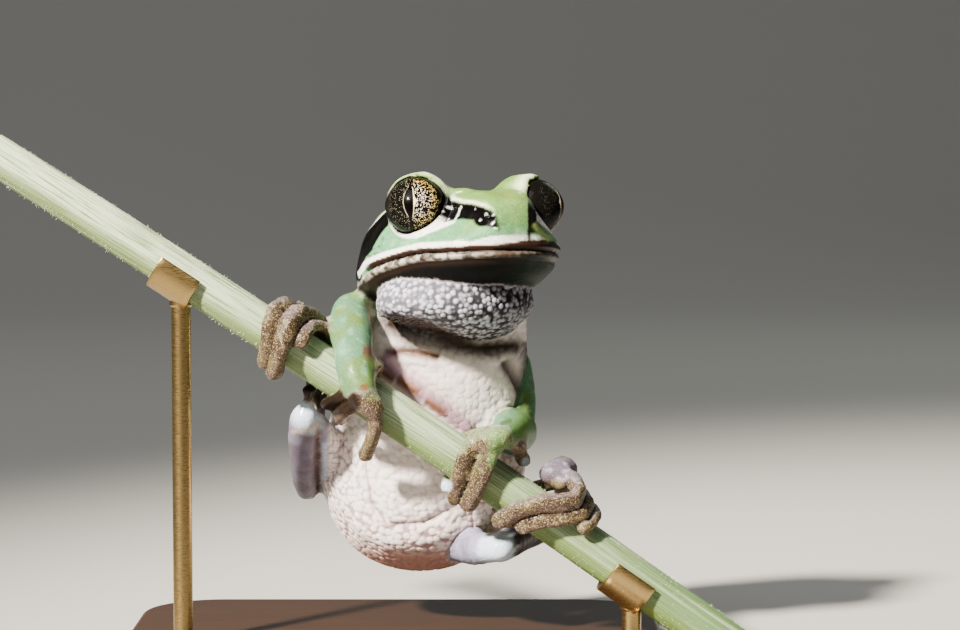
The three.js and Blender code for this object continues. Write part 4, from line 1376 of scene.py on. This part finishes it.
@dataclass(frozen=True)
class SkinFinish:
    """Moist living skin: a soft deep body colour under a thin wet film that gives small highlights."""

    belly_pebble: float
    throat_pebble: float
    roughness: float = 0.4
    speck: float = 0.35  # mm, the skin's grain of light and dark cells
    gilt: float = 0.2  # mm, the gold flecks on the digits
    wrinkle: float = 0.3  # mm

    def dress(self, obj: bpy.types.Object) -> None:
        """Puts the skin's material on an object."""
        tree, shader = new_finish(obj, "moist_frog_skin", {
            "IOR": 1.4, "Specular IOR Level": 0.13, "Coat Roughness": 0.12,
            "Subsurface Weight": 0.12, "Subsurface Radius": (1.0, 0.45, 0.3), "Subsurface Scale": 0.0007,
        })
        place = add_node(tree, "ShaderNodeTexCoord").outputs["Object"]
        made = {
            "belly_dome": granule_dome(tree, place, self.belly_pebble, BELLY_REACH),
            "throat_dome": granule_dome(tree, place, self.throat_pebble, THROAT_REACH),
        }
        for name in ("paint", "mortar", "belly_grain", "throat_grain", "mottle", "fleck", "gloss"):
            kept = "Color" if name in ("paint", "mortar") else "Fac"
            made[name] = add_node(tree, "ShaderNodeAttribute", attribute_name=name).outputs[kept]
        noises = (("cells", self.speck, 3.0), ("dots", self.gilt, 1.0), ("wrinkles", self.wrinkle, 4.0))
        for name, width, detail in noises:
            spread = {"Vector": place, "Scale": 1 / (width * MM), "Detail": detail}
            made[name] = add_node(tree, "ShaderNodeTexNoise", spread).outputs["Fac"]
        work_out(tree, made, (
            ("belly_low", "SUBTRACT", 1.0, "belly_dome"),
            ("belly_gap", "MULTIPLY", "belly_low", "belly_grain"),
            ("throat_low", "SUBTRACT", 1.0, "throat_dome"),
            ("throat_gap", "MULTIPLY", "throat_low", "throat_grain"),
            ("gap", "MAXIMUM", "belly_gap", "throat_gap"),
            ("seamed", "MIX", "gap", "paint", "mortar"),
            ("speck", "FIT", "cells", 0.3, 0.7, 0.55, 1.4),
            ("specked", "TINT", 1.0, "seamed", "speck"),
            ("amount", "MULTIPLY_ADD", "mottle", 0.55, 0.12),
            ("grained", "MIX", "amount", "seamed", "specked"),
            ("dot", "FIT", "dots", 0.56, 0.68, 0.0, 0.5),
            ("gilt", "MULTIPLY", "dot", "fleck"),
            ("gilded", "MIX", "gilt", "grained", "#C9B68A"),
            ("raised", "MULTIPLY_ADD", "gap", -2.2, "wrinkles"),
            ("dull", "MULTIPLY_ADD", "gloss", -0.22, self.roughness),
            ("wet", "MULTIPLY_ADD", "gloss", 0.25, 0.03),
            ("film", "MAXIMUM", "wet", 0.0),
        ))
        # Fine wrinkles and granules catch the light on the wet film.
        relief = {"Strength": 0.35, "Distance": 0.00008, "Height": made["raised"]}
        bump = add_node(tree, "ShaderNodeBump", relief).outputs["Normal"]
        tree.links.new(bump, shader["Normal"])
        for socket, name in (("Base Color", "gilded"), ("Roughness", "dull"), ("Coat Weight", "film")):
            tree.links.new(made[name], shader[socket])


# ---- the eyes -----------------------------------------------------------------------------------


@dataclass
class Eye:
    """One large eye: a wet ball with a gold net iris and an upright slit pupil."""

    layout: Layout
    name: str
    side: int  # 1 is the frog's right
    head: Head = field(default_factory=Head)
    outward: float = 42.0  # degrees off the muzzle
    upward: float = 5.0
    cornea: float = 0.22  # mm that the clear front bulges
    cornea_reach: float = 3.4

    def axes(self) -> np.ndarray:
        """Rows: towards the muzzle, up and along the line of sight, in the layout frame."""
        out, up = math.radians(self.outward), math.radians(self.upward)
        cos, sin = math.cos(out), self.side * math.sin(out)
        gaze = np.array([cos * math.cos(up), sin * math.cos(up), math.sin(up)])
        ahead = np.array([math.sin(out), -self.side * cos, 0])
        above = np.cross(gaze, ahead) * self.side
        return np.array([ahead, above, gaze]) @ self.head.turn().T

    def build(self) -> bpy.types.Object:
        """Makes the eyeball.

        Returns:
            The eye, with each vertex's place in the eye's own frame kept in "gaze".
        """
        deselect()
        radius = self.head.eye_radius * MM
        bpy.ops.mesh.primitive_uv_sphere_add(segments=96, ring_count=64, radius=radius)
        ball = bpy.context.object
        ball.name = ball.data.name = self.name
        local = coordinates(ball.data) / MM
        off = np.hypot(local[:, 0], local[:, 1])
        local[:, 2] += self.cornea * ramp(off, self.cornea_reach, 0) * (local[:, 2] > 0)
        place(ball.data, self.layout.to_frame(local @ self.axes() + self.head.eye_middle(self.side)))
        gaze = ball.data.attributes.new("gaze", "FLOAT_VECTOR", "POINT")
        gaze.data.foreach_set("vector", local.astype(np.float32).ravel())
        if self.side < 0:
            face_outward(ball)
        bpy.ops.object.shade_smooth()
        return ball


@dataclass(frozen=True)
class EyeFinish:
    """A wet cornea over a net of gold on black: the highlight is small and sharp."""

    iris: float = 3.98  # radius, mm
    pupil_half_height: float = 2.42
    pupil_half_width: float = 0.64
    net: float = 0.25  # mm between the gold flecks
    # The side of the iris that gets painted light, where light falls into the hollow iris; the other side's
    # flecks take painted shade.
    painted_lit_side: int = 1  # 1 when the gold is brightest towards the muzzle, -1 behind
    painted_shade_fleck: str = "#7C7A6A"
    film: float = 0.2  # how wet the cornea is

    def dress(self, obj: bpy.types.Object) -> None:
        """Puts the eye's material on an object."""
        tree, shader = new_finish(obj, "wet_cornea_over_gold_iris", {
            "Roughness": 0.3, "IOR": 1.38, "Specular IOR Level": 0.04,
            "Coat Weight": self.film, "Coat Roughness": 0.02, "Coat IOR": 1.38,
        })
        gaze = add_node(tree, "ShaderNodeAttribute", attribute_name="gaze").outputs["Vector"]
        made = dict(zip("xyz", add_node(tree, "ShaderNodeSeparateXYZ", {0: gaze}).outputs))
        warp = add_node(tree, "ShaderNodeTexNoise", {"Vector": gaze, "Scale": 1.6, "Detail": 2.0})
        bend = {0: 0.16, 1: gaze, 2: warp.outputs["Color"]}
        bent = add_node(tree, "ShaderNodeMixRGB", bend, blend_type="ADD").outputs[0]
        mesh = {"Vector": bent, "Scale": 1 / self.net, "Randomness": 1.0}
        made["cell"] = add_node(tree, "ShaderNodeTexVoronoi", mesh, feature="F1").outputs["Distance"]
        clouds = add_node(tree, "ShaderNodeTexNoise", {"Vector": gaze, "Scale": 1.1, "Detail": 3.0})
        made["clouds"] = clouds.outputs["Fac"]
        work_out(tree, made, self.slit() + self.gold())
        tree.links.new(made["eye"], shader["Base Color"])

    def slit(self) -> tuple[tuple[object, ...], ...]:
        """The pupil: nearly straight towards the muzzle, curved behind, a pale line along each edge."""
        return (
            ("share", "DIVIDE", "y", self.pupil_half_height),
            ("share_2", "MULTIPLY", "share", "share"),
            ("rest", "SUBTRACT", 1.0, "share_2"),
            ("waist", "MAXIMUM", "rest", 0.0),
            ("blunt", "POWER", "waist", 0.4),
            ("front_edge", "MULTIPLY", "blunt", self.pupil_half_width),
            ("front_gap", "SUBTRACT", "x", "front_edge"),
            ("back_edge", "MULTIPLY", "waist", -1.05 * self.pupil_half_width),
            ("back_gap", "MULTIPLY_ADD", "x", -1.0, "back_edge"),
            ("beyond", "MAXIMUM", "front_gap", "back_gap"),
            ("pupil", "STEP", "beyond", 0.04, -0.04),
            ("notch", "POWER", "waist", 14.0),
            ("swell", "MULTIPLY", "notch", 0.36),
            ("swollen", "SUBTRACT", "front_gap", "swell"),
            ("front_start", "STEP", "front_gap", 0.0, 0.04),
            ("front_end", "STEP", "swollen", 0.13, 0.07),
            ("front_line", "MULTIPLY", "front_start", "front_end"),
            ("back_start", "STEP", "back_gap", 0.2, 0.25),
            ("back_end", "STEP", "back_gap", 0.34, 0.29),
            ("back_band", "MULTIPLY", "back_start", "back_end"),
            ("low", "STEP", "y", -2.3, -0.9),
            ("back_line", "MULTIPLY", "back_band", "low"),
            ("faint", "MULTIPLY", "back_line", 0.42),
            ("ends", "STEP", "waist", 0.02, 0.2),
            ("lines", "MAXIMUM", "front_line", "faint"),
            ("tapered", "MULTIPLY", "lines", "ends"),
            ("outside", "SUBTRACT", 1.0, "pupil"),
            ("rim", "MULTIPLY", "tapered", "outside"),
        )

    def gold(self) -> tuple[tuple[object, ...], ...]:
        """The iris: gold flecks on black, paler and closer on the side given painted light, with flecks in
        painted shade on the other, under the slit.
        """
        return (
            ("lit", "MULTIPLY", "x", self.painted_lit_side),
            ("bright", "STEP", "lit", -1.6, 1.2),
            ("reach", "MULTIPLY_ADD", "bright", 0.16, 0.23),
            ("spot", "SUBTRACT", "reach", "cell"),
            ("drift", "SUBTRACT", "clouds", 0.5),
            ("uneven", "MULTIPLY_ADD", "drift", 0.3, "spot"),
            ("fleck", "STEP", "uneven", -0.03, 0.1),
            ("x_2", "MULTIPLY", "x", "x"),
            ("y_2", "MULTIPLY", "y", "y"),
            ("off_2", "ADD", "x_2", "y_2"),
            ("off", "SQRT", "off_2"),
            ("left", "MULTIPLY_ADD", "off", -1.0, self.iris),
            ("iris", "STEP", "left", -0.06, 0.1),
            ("front", "STEP", "z", 0.4, 1.2),
            ("facing", "MULTIPLY", "iris", "front"),
            ("past_slit", "STEP", "beyond", 0.1, 0.3),
            ("clear", "MULTIPLY", "facing", "past_slit"),
            ("shown", "MULTIPLY", "fleck", "clear"),
            ("outer", "STEP", "off", 1.6, 3.8),
            ("gold", "MIX", "outer", "#FFF0DC", "#D6B464"),
            ("flecked", "MIX", "bright", self.painted_shade_fleck, "gold"),
            ("net", "MIX", "shown", "#0B0907", "flecked"),
            ("rimmed", "MIX", "rim", "net", "#F6E6BE"),
            ("inside", "MULTIPLY", "pupil", "front"),
            ("eye", "MIX", "inside", "rimmed", "#040303"),
        )


# ---- the stem -----------------------------------------------------------------------------------


@dataclass
class Stem:
    """A cut length of green plant stem with fine ribs and short hairs."""

    layout: Layout
    left: float = -75.0
    right: float = 40.5
    height: float = -24.35
    slope: float = -0.6864
    bow: float = -0.00037
    radius_left: float = 3.1
    radius_right: float = 3.45
    ribs: int = 13
    rib_height: float = 0.11
    lines: int = 47  # fine lines between the ribs
    line_height: float = 0.035
    around: int = 188
    along: int = 100  # cuts across
    hairs: int = 2600
    hair_radius: float = 0.035  # mm
    seed: int = 11

    def frame_at(self, x: Values) -> tuple[Points, Points, Points]:
        """The axis, its direction and its upward normal at each x."""
        height = self.height + self.slope * x + self.bow * x * x
        slant = self.slope + 2 * self.bow * x
        length = np.hypot(1, slant)
        zero = np.zeros_like(x)
        along = np.column_stack([1 / length, zero, slant / length])
        up = np.column_stack([-slant / length, zero, 1 / length])
        return np.column_stack([x, zero, height]), along, up

    def radius(self, x: Values) -> Values:
        """The stem's radius at each x, without its ribs."""
        share = (x - self.left) / (self.right - self.left)
        return self.radius_left + share * (self.radius_right - self.radius_left)

    def relief(self, angle: Values, x: Values) -> Values:
        """How far the ribs and fine lines stand out at each place."""
        drift = 0.06 * np.sin(x / 9.0) + 0.04 * np.sin(x / 3.7 + 1.0)
        rib = np.abs(np.sin((angle + drift) * self.ribs / 2)) ** 0.8
        strength = 0.6 + 0.4 * np.sin(angle * 3 + 0.7)
        line = np.sin((angle + drift * 0.7) * self.lines)
        return self.rib_height * (rib - 0.6) * strength + self.line_height * line

    def build(self) -> bpy.types.Object:
        """Makes the stem from a cylinder that is cut across many times and laid on its axis."""
        stem = cut_cylinder("green_stem", self.around, self.along, "NGON")
        mesh = stem.data
        flat = coordinates(mesh)
        x = self.left + (flat[:, 2] + 0.5) * (self.right - self.left)
        angle = np.arctan2(flat[:, 1], flat[:, 0])
        off = np.hypot(flat[:, 0], flat[:, 1])
        axis, _, up = self.frame_at(x)
        reach = off * (self.radius(x) + self.relief(angle, x))
        side = np.array([0.0, -1.0, 0.0])
        points = axis + (reach * np.cos(angle))[:, None] * up + (reach * np.sin(angle))[:, None] * side
        place(mesh, self.layout.to_frame(points))
        store(mesh, "round", angle * self.radius(x))
        store(mesh, "along", x)
        # How far each place lies on the underside, where the finish paints shade.
        store(mesh, "lower", 0.75 * ramp(np.cos(angle), 0.05, -0.5))
        face_outward(stem)
        bpy.ops.object.shade_smooth_by_angle(angle=math.radians(50))
        return stem

    def hair_coat(self) -> bpy.types.Object:
        """Makes the short pale hairs, each a thin cone, as one piece."""
        deselect()
        bpy.ops.mesh.primitive_cone_add(vertices=3, radius1=1, radius2=0, depth=1, end_fill_type="NGON")
        cone = bpy.context.object
        cone.name = cone.data.name = "stem_hairs"
        shape = coordinates(cone.data) + np.array([0, 0, 0.5])
        faces = [tuple(p.vertices) for p in cone.data.polygons]
        chance = np.random.default_rng(self.seed)
        x = chance.uniform(self.left + 1, self.right - 1, self.hairs)
        angle = chance.uniform(-math.pi, math.pi, self.hairs)
        length = chance.uniform(0.25, 0.6, self.hairs)
        lean = chance.normal(0, 0.35, (self.hairs, 2))
        axis, along, up = self.frame_at(x)
        side = np.tile([0.0, -1.0, 0.0], (self.hairs, 1))
        outward = np.cos(angle)[:, None] * up + np.sin(angle)[:, None] * side
        across = -np.sin(angle)[:, None] * up + np.cos(angle)[:, None] * side
        root = axis + (self.radius(x) - 0.08)[:, None] * outward
        growth = outward + lean[:, :1] * along + lean[:, 1:] * across
        growth /= np.linalg.norm(growth, axis=1)[:, None]
        places = (
            root[:, None, :]
            + (shape[None, :, 0, None] * self.hair_radius) * along[:, None, :]
            + (shape[None, :, 1, None] * self.hair_radius) * across[:, None, :]
            + (shape[None, :, 2, None] * length[:, None, None]) * growth[:, None, :]
        )
        count = len(shape)
        mesh = cone.data
        mesh.clear_geometry()
        all_faces = [tuple(v + i * count for v in face) for i in range(self.hairs) for face in faces]
        mesh.from_pydata(self.layout.to_frame(places.reshape(-1, 3)).tolist(), [], all_faces)
        mesh.update()
        face_outward(cone)
        return cone


@dataclass(frozen=True)
class StemFinish:
    """A fresh herbaceous stem: satin, pale green, with long fine fibres that show as streaks; painted paler
    towards its upper end as a highlight and olive along its underside as shade.
    """

    streak: float = 0.28  # mm across a streak
    stretch: float = 0.045  # how much shorter a streak's pattern is along the stem
    patch: float = 9.0  # mm

    def dress(self, obj: bpy.types.Object) -> None:
        """Puts the stem's material on an object."""
        tree, shader = new_finish(obj, "fresh_green_stem", {
            "Roughness": 0.5, "Subsurface Weight": 0.1, "Subsurface Radius": (0.5, 1.0, 0.3),
            "Subsurface Scale": 0.0006,
        })
        made = {
            name: add_node(tree, "ShaderNodeAttribute", attribute_name=name).outputs["Fac"]
            for name in ("round", "along", "lower")
        }
        work_out(tree, made, (("length", "MULTIPLY", "along", self.stretch),))
        place = add_node(tree, "ShaderNodeTexCoord").outputs["Object"]
        lay = add_node(tree, "ShaderNodeCombineXYZ", {0: made["round"], 1: made["length"]}).outputs[0]
        noises = (
            ("streaks", lay, 1 / self.streak, 4.0),
            ("broad", lay, 0.9, 2.0),
            ("patches", place, 1 / (self.patch * MM), 3.0),
        )
        for name, where, scale, detail in noises:
            spread = {"Vector": where, "Scale": scale, "Detail": detail}
            made[name] = add_node(tree, "ShaderNodeTexNoise", spread).outputs["Fac"]
        work_out(tree, made, (
            # Painted highlight: the base colour pales towards the stem's upper left end.
            ("light", "FIT", "along", -75.0, 40.0, 0.0, 1.0),
            ("base", "MIX", "light", "#C6D4B0", "#50703C"),
            ("tone", "FIT", "streaks", 0.46, 0.66, 0.0, 0.9),
            ("streaked", "MIX", "tone", "base", "#526838"),
            ("pale", "FIT", "broad", 0.5, 0.72, 0.0, 0.45),
            ("paler", "MIX", "pale", "streaked", "#D3DCC0"),
            ("olive", "FIT", "patches", 0.52, 0.72, 0.0, 0.45),
            ("patched", "MIX", "olive", "paler", "#7C7F3C"),
            # Painted shade: olive along the stem's underside.
            ("stem", "MIX", "lower", "patched", "#5F7530"),
        ))
        relief = {"Strength": 0.4, "Distance": 0.0001, "Height": made["streaks"]}
        bump = add_node(tree, "ShaderNodeBump", relief).outputs["Normal"]
        tree.links.new(made["stem"], shader["Base Color"])
        tree.links.new(bump, shader["Normal"])


@dataclass(frozen=True)
class HairFinish:
    """Pale plant hair, clear enough to glow against the light."""

    def dress(self, obj: bpy.types.Object) -> None:
        """Puts the hair's material on an object."""
        new_finish(obj, "pale_plant_hair", {"Base Color": colour("#DDE3C2"), "Roughness": 0.45})


# ---- the stand ------------------------------------------------------------------------------------


@dataclass
class StandBase:
    """The flat wooden base with round corners and an eased edge."""

    corner: float = 12.8
    ease: float = 1.1

    def build(self) -> bpy.types.Object:
        """Makes the base from a block whose corners and edges are bevelled."""
        low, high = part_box("stand_base")
        deselect()
        bpy.ops.mesh.primitive_cube_add(size=1, location=(low + high) / 2)
        base = bpy.context.object
        base.name = base.data.name = "wooden_base"
        base.scale = high - low
        bpy.ops.object.transform_apply(location=True, rotation=False, scale=True)
        select_edges(base, lambda a, b: abs(a.z - b.z) > MM)
        bpy.ops.mesh.bevel(offset=self.corner * MM, segments=14, affect="EDGES")
        bpy.ops.object.mode_set(mode="OBJECT")
        rounding = {"segments": 4, "limit_method": "ANGLE", "angle_limit": math.radians(60)}
        apply_modifier(base, "BEVEL", width=self.ease * MM, **rounding)
        bpy.ops.object.shade_smooth_by_angle(angle=math.radians(35))
        return base


@dataclass
class StandRod:
    """A turned brass rod on a small foot, with a saddle that carries the stem."""

    layout: Layout
    stem: Stem
    name: str
    x: float
    radius: float = 1.5
    foot: float = 2.6
    wall: float = 1.0
    clearance: float = 0.25
    length: float = 7.0
    half_angle: float = 104.0  # degrees of the saddle's arc to each side
    base_top: float = Layout.BASE_TOP
    around: int = 48
    easing: float = 0.18  # mm, the saddle's eased edges

    def build(self) -> bpy.types.Object:
        """Makes the rod by shaping a cut cylinder, and its saddle by bending a plate."""
        shaft = self.turned()
        saddle = self.saddle()
        deselect()
        shaft.select_set(True)
        saddle.select_set(True)
        bpy.context.view_layer.objects.active = shaft
        bpy.ops.object.join()
        pick(shaft)
        bpy.ops.object.shade_smooth_by_angle(angle=math.radians(40))
        return shaft

    def turned(self) -> bpy.types.Object:
        """The rod and its foot, turned to an outline."""
        top = float(self.stem.frame_at(np.array([self.x]))[0][0, 2]) - self.stem.radius_left - 0.9
        low, foot, radius = self.base_top, self.foot, self.radius
        outline = np.array([
            (foot, low), (foot + 0.1, low + 0.12), (foot + 0.1, low + 0.55), (foot - 0.1, low + 0.7),
            (radius + 0.35, low + 0.95), (radius + 0.1, low + 1.4), (radius, low + 2.0), (radius, top - 1.2),
            (radius + 0.3, top - 0.9), (radius + 0.3, top - 0.4), (radius, top - 0.1), (radius, top + 0.5),
        ])
        rod = cut_cylinder(self.name, self.around, len(outline) - 2, "TRIFAN")
        flat = coordinates(rod.data)
        ring = np.rint((flat[:, 2] + 0.5) * (len(outline) - 1)).astype(int)
        reach, height = outline[ring].T
        points = np.column_stack([self.x + reach * flat[:, 0], reach * flat[:, 1], height])
        place(rod.data, self.layout.to_frame(points))
        face_outward(rod)
        return rod

    def saddle(self) -> bpy.types.Object:
        """The half sleeve under the stem."""
        deselect()
        bpy.ops.mesh.primitive_grid_add(x_subdivisions=8, y_subdivisions=40, size=1)
        plate = bpy.context.object
        flat = coordinates(plate.data)
        x = self.x + flat[:, 0] * self.length * 0.82
        angle = math.pi + flat[:, 1] * 2 * math.radians(self.half_angle)
        axis, along, up = self.stem.frame_at(np.full_like(x, self.x))
        reach = self.stem.radius(x) + self.clearance
        side = np.array([0.0, -1.0, 0.0])
        points = (
            axis
            + (flat[:, 0] * self.length)[:, None] * along
            + (reach * np.cos(angle))[:, None] * up
            + (reach * np.sin(angle))[:, None] * side
        )
        place(plate.data, self.layout.to_frame(points))
        face_outward(plate)
        apply_modifier(plate, "SOLIDIFY", thickness=self.wall * MM, offset=self.outer_side(plate))
        easing = {"segments": 2, "limit_method": "ANGLE", "angle_limit": math.radians(50)}
        apply_modifier(plate, "BEVEL", width=self.easing * MM, **easing)
        return plate

    def outer_side(self, plate: bpy.types.Object) -> float:
        """The offset that thickens the plate away from the stem."""
        middle = Vector(self.layout.to_frame(self.stem.frame_at(np.array([self.x]))[0][0]))
        face = plate.data.polygons[len(plate.data.polygons) // 2]
        return 1.0 if face.normal.dot(face.center - middle) > 0 else -1.0


@dataclass(frozen=True)
class WoodFinish:
    """Dark stained close-grained hardwood under a satin varnish."""

    def dress(self, obj: bpy.types.Object) -> None:
        """Puts the wood's material on an object."""
        looks = {"Roughness": 0.38, "Coat Weight": 0.3, "Coat Roughness": 0.2}
        tree, shader = new_finish(obj, "dark_stained_hardwood", looks)
        place = add_node(tree, "ShaderNodeTexCoord").outputs["Object"]
        # The grain runs along X: fibres 0.5 mm wide and some 15 mm long.
        grain = add_node(tree, "ShaderNodeMapping", {"Vector": place, "Scale": (70.0, 1900.0, 1900.0)})
        spread = {"Vector": grain.outputs[0], "Scale": 1.0, "Detail": 5.0}
        fibres = add_node(tree, "ShaderNodeTexNoise", spread).outputs["Fac"]
        made = work_out(tree, {"fibres": fibres}, (("wood", "MIX", "fibres", "#231913", "#4A3324"),))
        bump = add_node(tree, "ShaderNodeBump", {"Strength": 0.15, "Distance": 0.00005, "Height": fibres})
        tree.links.new(made["wood"], shader["Base Color"])
        tree.links.new(bump.outputs["Normal"], shader["Normal"])


@dataclass(frozen=True)
class BrassFinish:
    """Turned brass, left satin from the lathe: warm yellow metal with soft highlights."""

    def dress(self, obj: bpy.types.Object) -> None:
        """Puts the brass on an object."""
        looks = {"Base Color": colour("#B0935E"), "Metallic": 1.0}
        tree, shader = new_finish(obj, "satin_turned_brass", looks)
        place = add_node(tree, "ShaderNodeTexCoord").outputs["Object"]
        marks = add_node(tree, "ShaderNodeMapping", {"Vector": place, "Scale": (900.0, 900.0, 9000.0)})
        spread = {"Vector": marks.outputs[0], "Scale": 1.0, "Detail": 2.0}
        rings = add_node(tree, "ShaderNodeTexNoise", spread).outputs["Fac"]
        made = work_out(tree, {"rings": rings}, (("shine", "FIT", "rings", 0.3, 0.7, 0.24, 0.36),))
        tree.links.new(made["shine"], shader["Roughness"])


# ---- floor, light and camera ------------------------------------------------------------------------


@dataclass
class Studio:
    """A plain pale floor with soft studio light and the camera."""

    layout: Layout
    view: FrontView = field(default_factory=FrontView)
    floor_size: float = 6.0
    wall_distance: float = 1.7  # behind the model
    wall_height: float = 2.4
    wall_curve: float = 0.9
    spot_mouth: float = 0.08
    spot_angle: float = 11.0
    aim: tuple[float, float, float] = (0.0, 0.0, 0.055)
    lens: float = 105.0  # mm
    sensor: float = 36.0  # mm
    near: float = 0.02  # what the camera shows starts here

    def floor(self) -> None:
        """Lays the pale floor under the base, with a curved wall behind."""
        deselect()
        back = self.wall_distance - self.floor_size / 2
        bpy.ops.mesh.primitive_plane_add(size=self.floor_size, location=(0, back, 0))
        plane = bpy.context.object
        plane.name = "floor"
        bpy.ops.object.transform_apply(location=True, rotation=False, scale=False)
        edge = self.wall_distance - MM
        select_edges(plane, lambda a, b: min(a.y, b.y) > edge)
        bpy.ops.mesh.extrude_region_move(TRANSFORM_OT_translate={"value": (0, 0, self.wall_height)})
        bpy.ops.object.mode_set(mode="OBJECT")
        select_edges(plane, lambda a, b: min(a.y, b.y) > edge and max(a.z, b.z) < MM)
        bpy.ops.mesh.bevel(offset=self.wall_curve, segments=24, affect="EDGES")
        bpy.ops.object.mode_set(mode="OBJECT")
        bpy.ops.object.shade_smooth()
        new_finish(plane, "pale_paper", {"Base Color": colour("#B4B2AD"), "Roughness": 0.9})

    def lamp(self, name: str, place: tuple[float, ...], watts: float, tint: str, **shape: float) -> None:
        """Hangs one lamp that points at the model.

        Args:
            name: the lamp's name.
            place: where it hangs, m.
            watts: its power.
            tint: its colour.
            shape: the size of a square soft lamp, or the spot lamp's own settings.
        """
        light = bpy.data.lights.new(name, "AREA" if "size" in shape else "SPOT")
        light.energy = watts
        light.color = linear(tint)
        for setting, value in shape.items():
            setattr(light, setting, value)
        lamp = bpy.data.objects.new(name, light)
        lamp.location = place
        direction = Vector(self.aim) - Vector(place)
        lamp.rotation_euler = direction.to_track_quat("-Z", "Y").to_euler()
        bpy.context.scene.collection.objects.link(lamp)

    def light(self) -> None:
        """Hangs the lamps and sets the room's light."""
        beam = {"spot_size": math.radians(self.spot_angle), "spot_blend": 0.8}
        self.lamp("key", (-0.96, -1.16, 1.12), 900.0, "#FFF6E8", shadow_soft_size=self.spot_mouth, **beam)
        self.lamp("soft", (-0.7, -0.9, 1.7), 22.0, "#FFFFFF", size=1.2)
        self.lamp("fill", (0.75, -0.75, 0.3), 0.12, "#E8F0FF", size=0.7)
        self.lamp("rim", (0.38, 0.62, 0.5), 0.6, "#F4FFF0", size=0.3)
        world = bpy.context.scene.world or bpy.data.worlds.new("room")
        bpy.context.scene.world = world
        world.use_nodes = True
        background = world.node_tree.nodes["Background"]
        background.inputs["Color"].default_value = (0.75, 0.8, 0.85, 1)
        background.inputs["Strength"].default_value = 0.06

    def camera(self) -> None:
        """Sets up the camera."""
        data = bpy.data.cameras.new("camera")
        data.lens = self.lens
        data.sensor_width = self.sensor
        data.clip_start = self.near
        camera = bpy.data.objects.new("camera", data)
        camera.location = Vector(self.layout.to_frame(self.view.eye()))
        camera.rotation_euler = (math.pi / 2 - self.view.elevation, 0, 0)
        bpy.context.scene.collection.objects.link(camera)
        bpy.context.scene.camera = camera


def settle(obj: bpy.types.Object, slot: str, *nodes: str) -> None:
    """Makes a piece part of the model.

    Args:
        obj: the piece.
        slot: the record's material slot of its finish; not used.
        nodes: the CAD nodes that it stands for.
    """
    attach(obj, "root")
    if nodes:
        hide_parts(*nodes)
    LOG.info("%s: %d vertices", obj.name, len(obj.data.vertices))


def main() -> None:
    """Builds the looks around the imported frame."""
    logging.basicConfig(level=logging.INFO, format="%(message)s", stream=sys.stdout, force=True)
    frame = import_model()
    layout = Layout()

    skin = FrogSkin(layout)
    body = skin.build(frame["nodes"])
    SkinFinish(skin.belly_pebble, skin.throat_pebble).dress(body)
    settle(body, "skin_green", *skin.names)

    for name, side in (("eye_right", 1), ("eye_left", -1)):
        eye = Eye(layout, "frog_" + name, side).build()
        # Each eye's gold gets painted light on one side; the far eye's flecks in painted shade are darker.
        EyeFinish(painted_lit_side=side, painted_shade_fleck="#7C7A6A" if side > 0 else "#3A4038").dress(eye)
        settle(eye, "eye", name)

    stem = Stem(layout)
    stalk = stem.build()
    StemFinish().dress(stalk)
    settle(stalk, "stem", "perch_stem")
    hairs = stem.hair_coat()
    HairFinish().dress(hairs)
    settle(hairs, "stem")

    base = StandBase().build()
    WoodFinish().dress(base)
    settle(base, "stand_wood", "stand_base")
    for name, x in (("stand_rod_left", -46.0), ("stand_rod_right", 23.5)):
        rod = StandRod(layout, stem, "brass_" + name, x).build()
        BrassFinish().dress(rod)
        settle(rod, "stand_metal", name)

    studio = Studio(layout)
    studio.floor()
    studio.light()
    studio.camera()


if __name__ == "__main__":
    main()
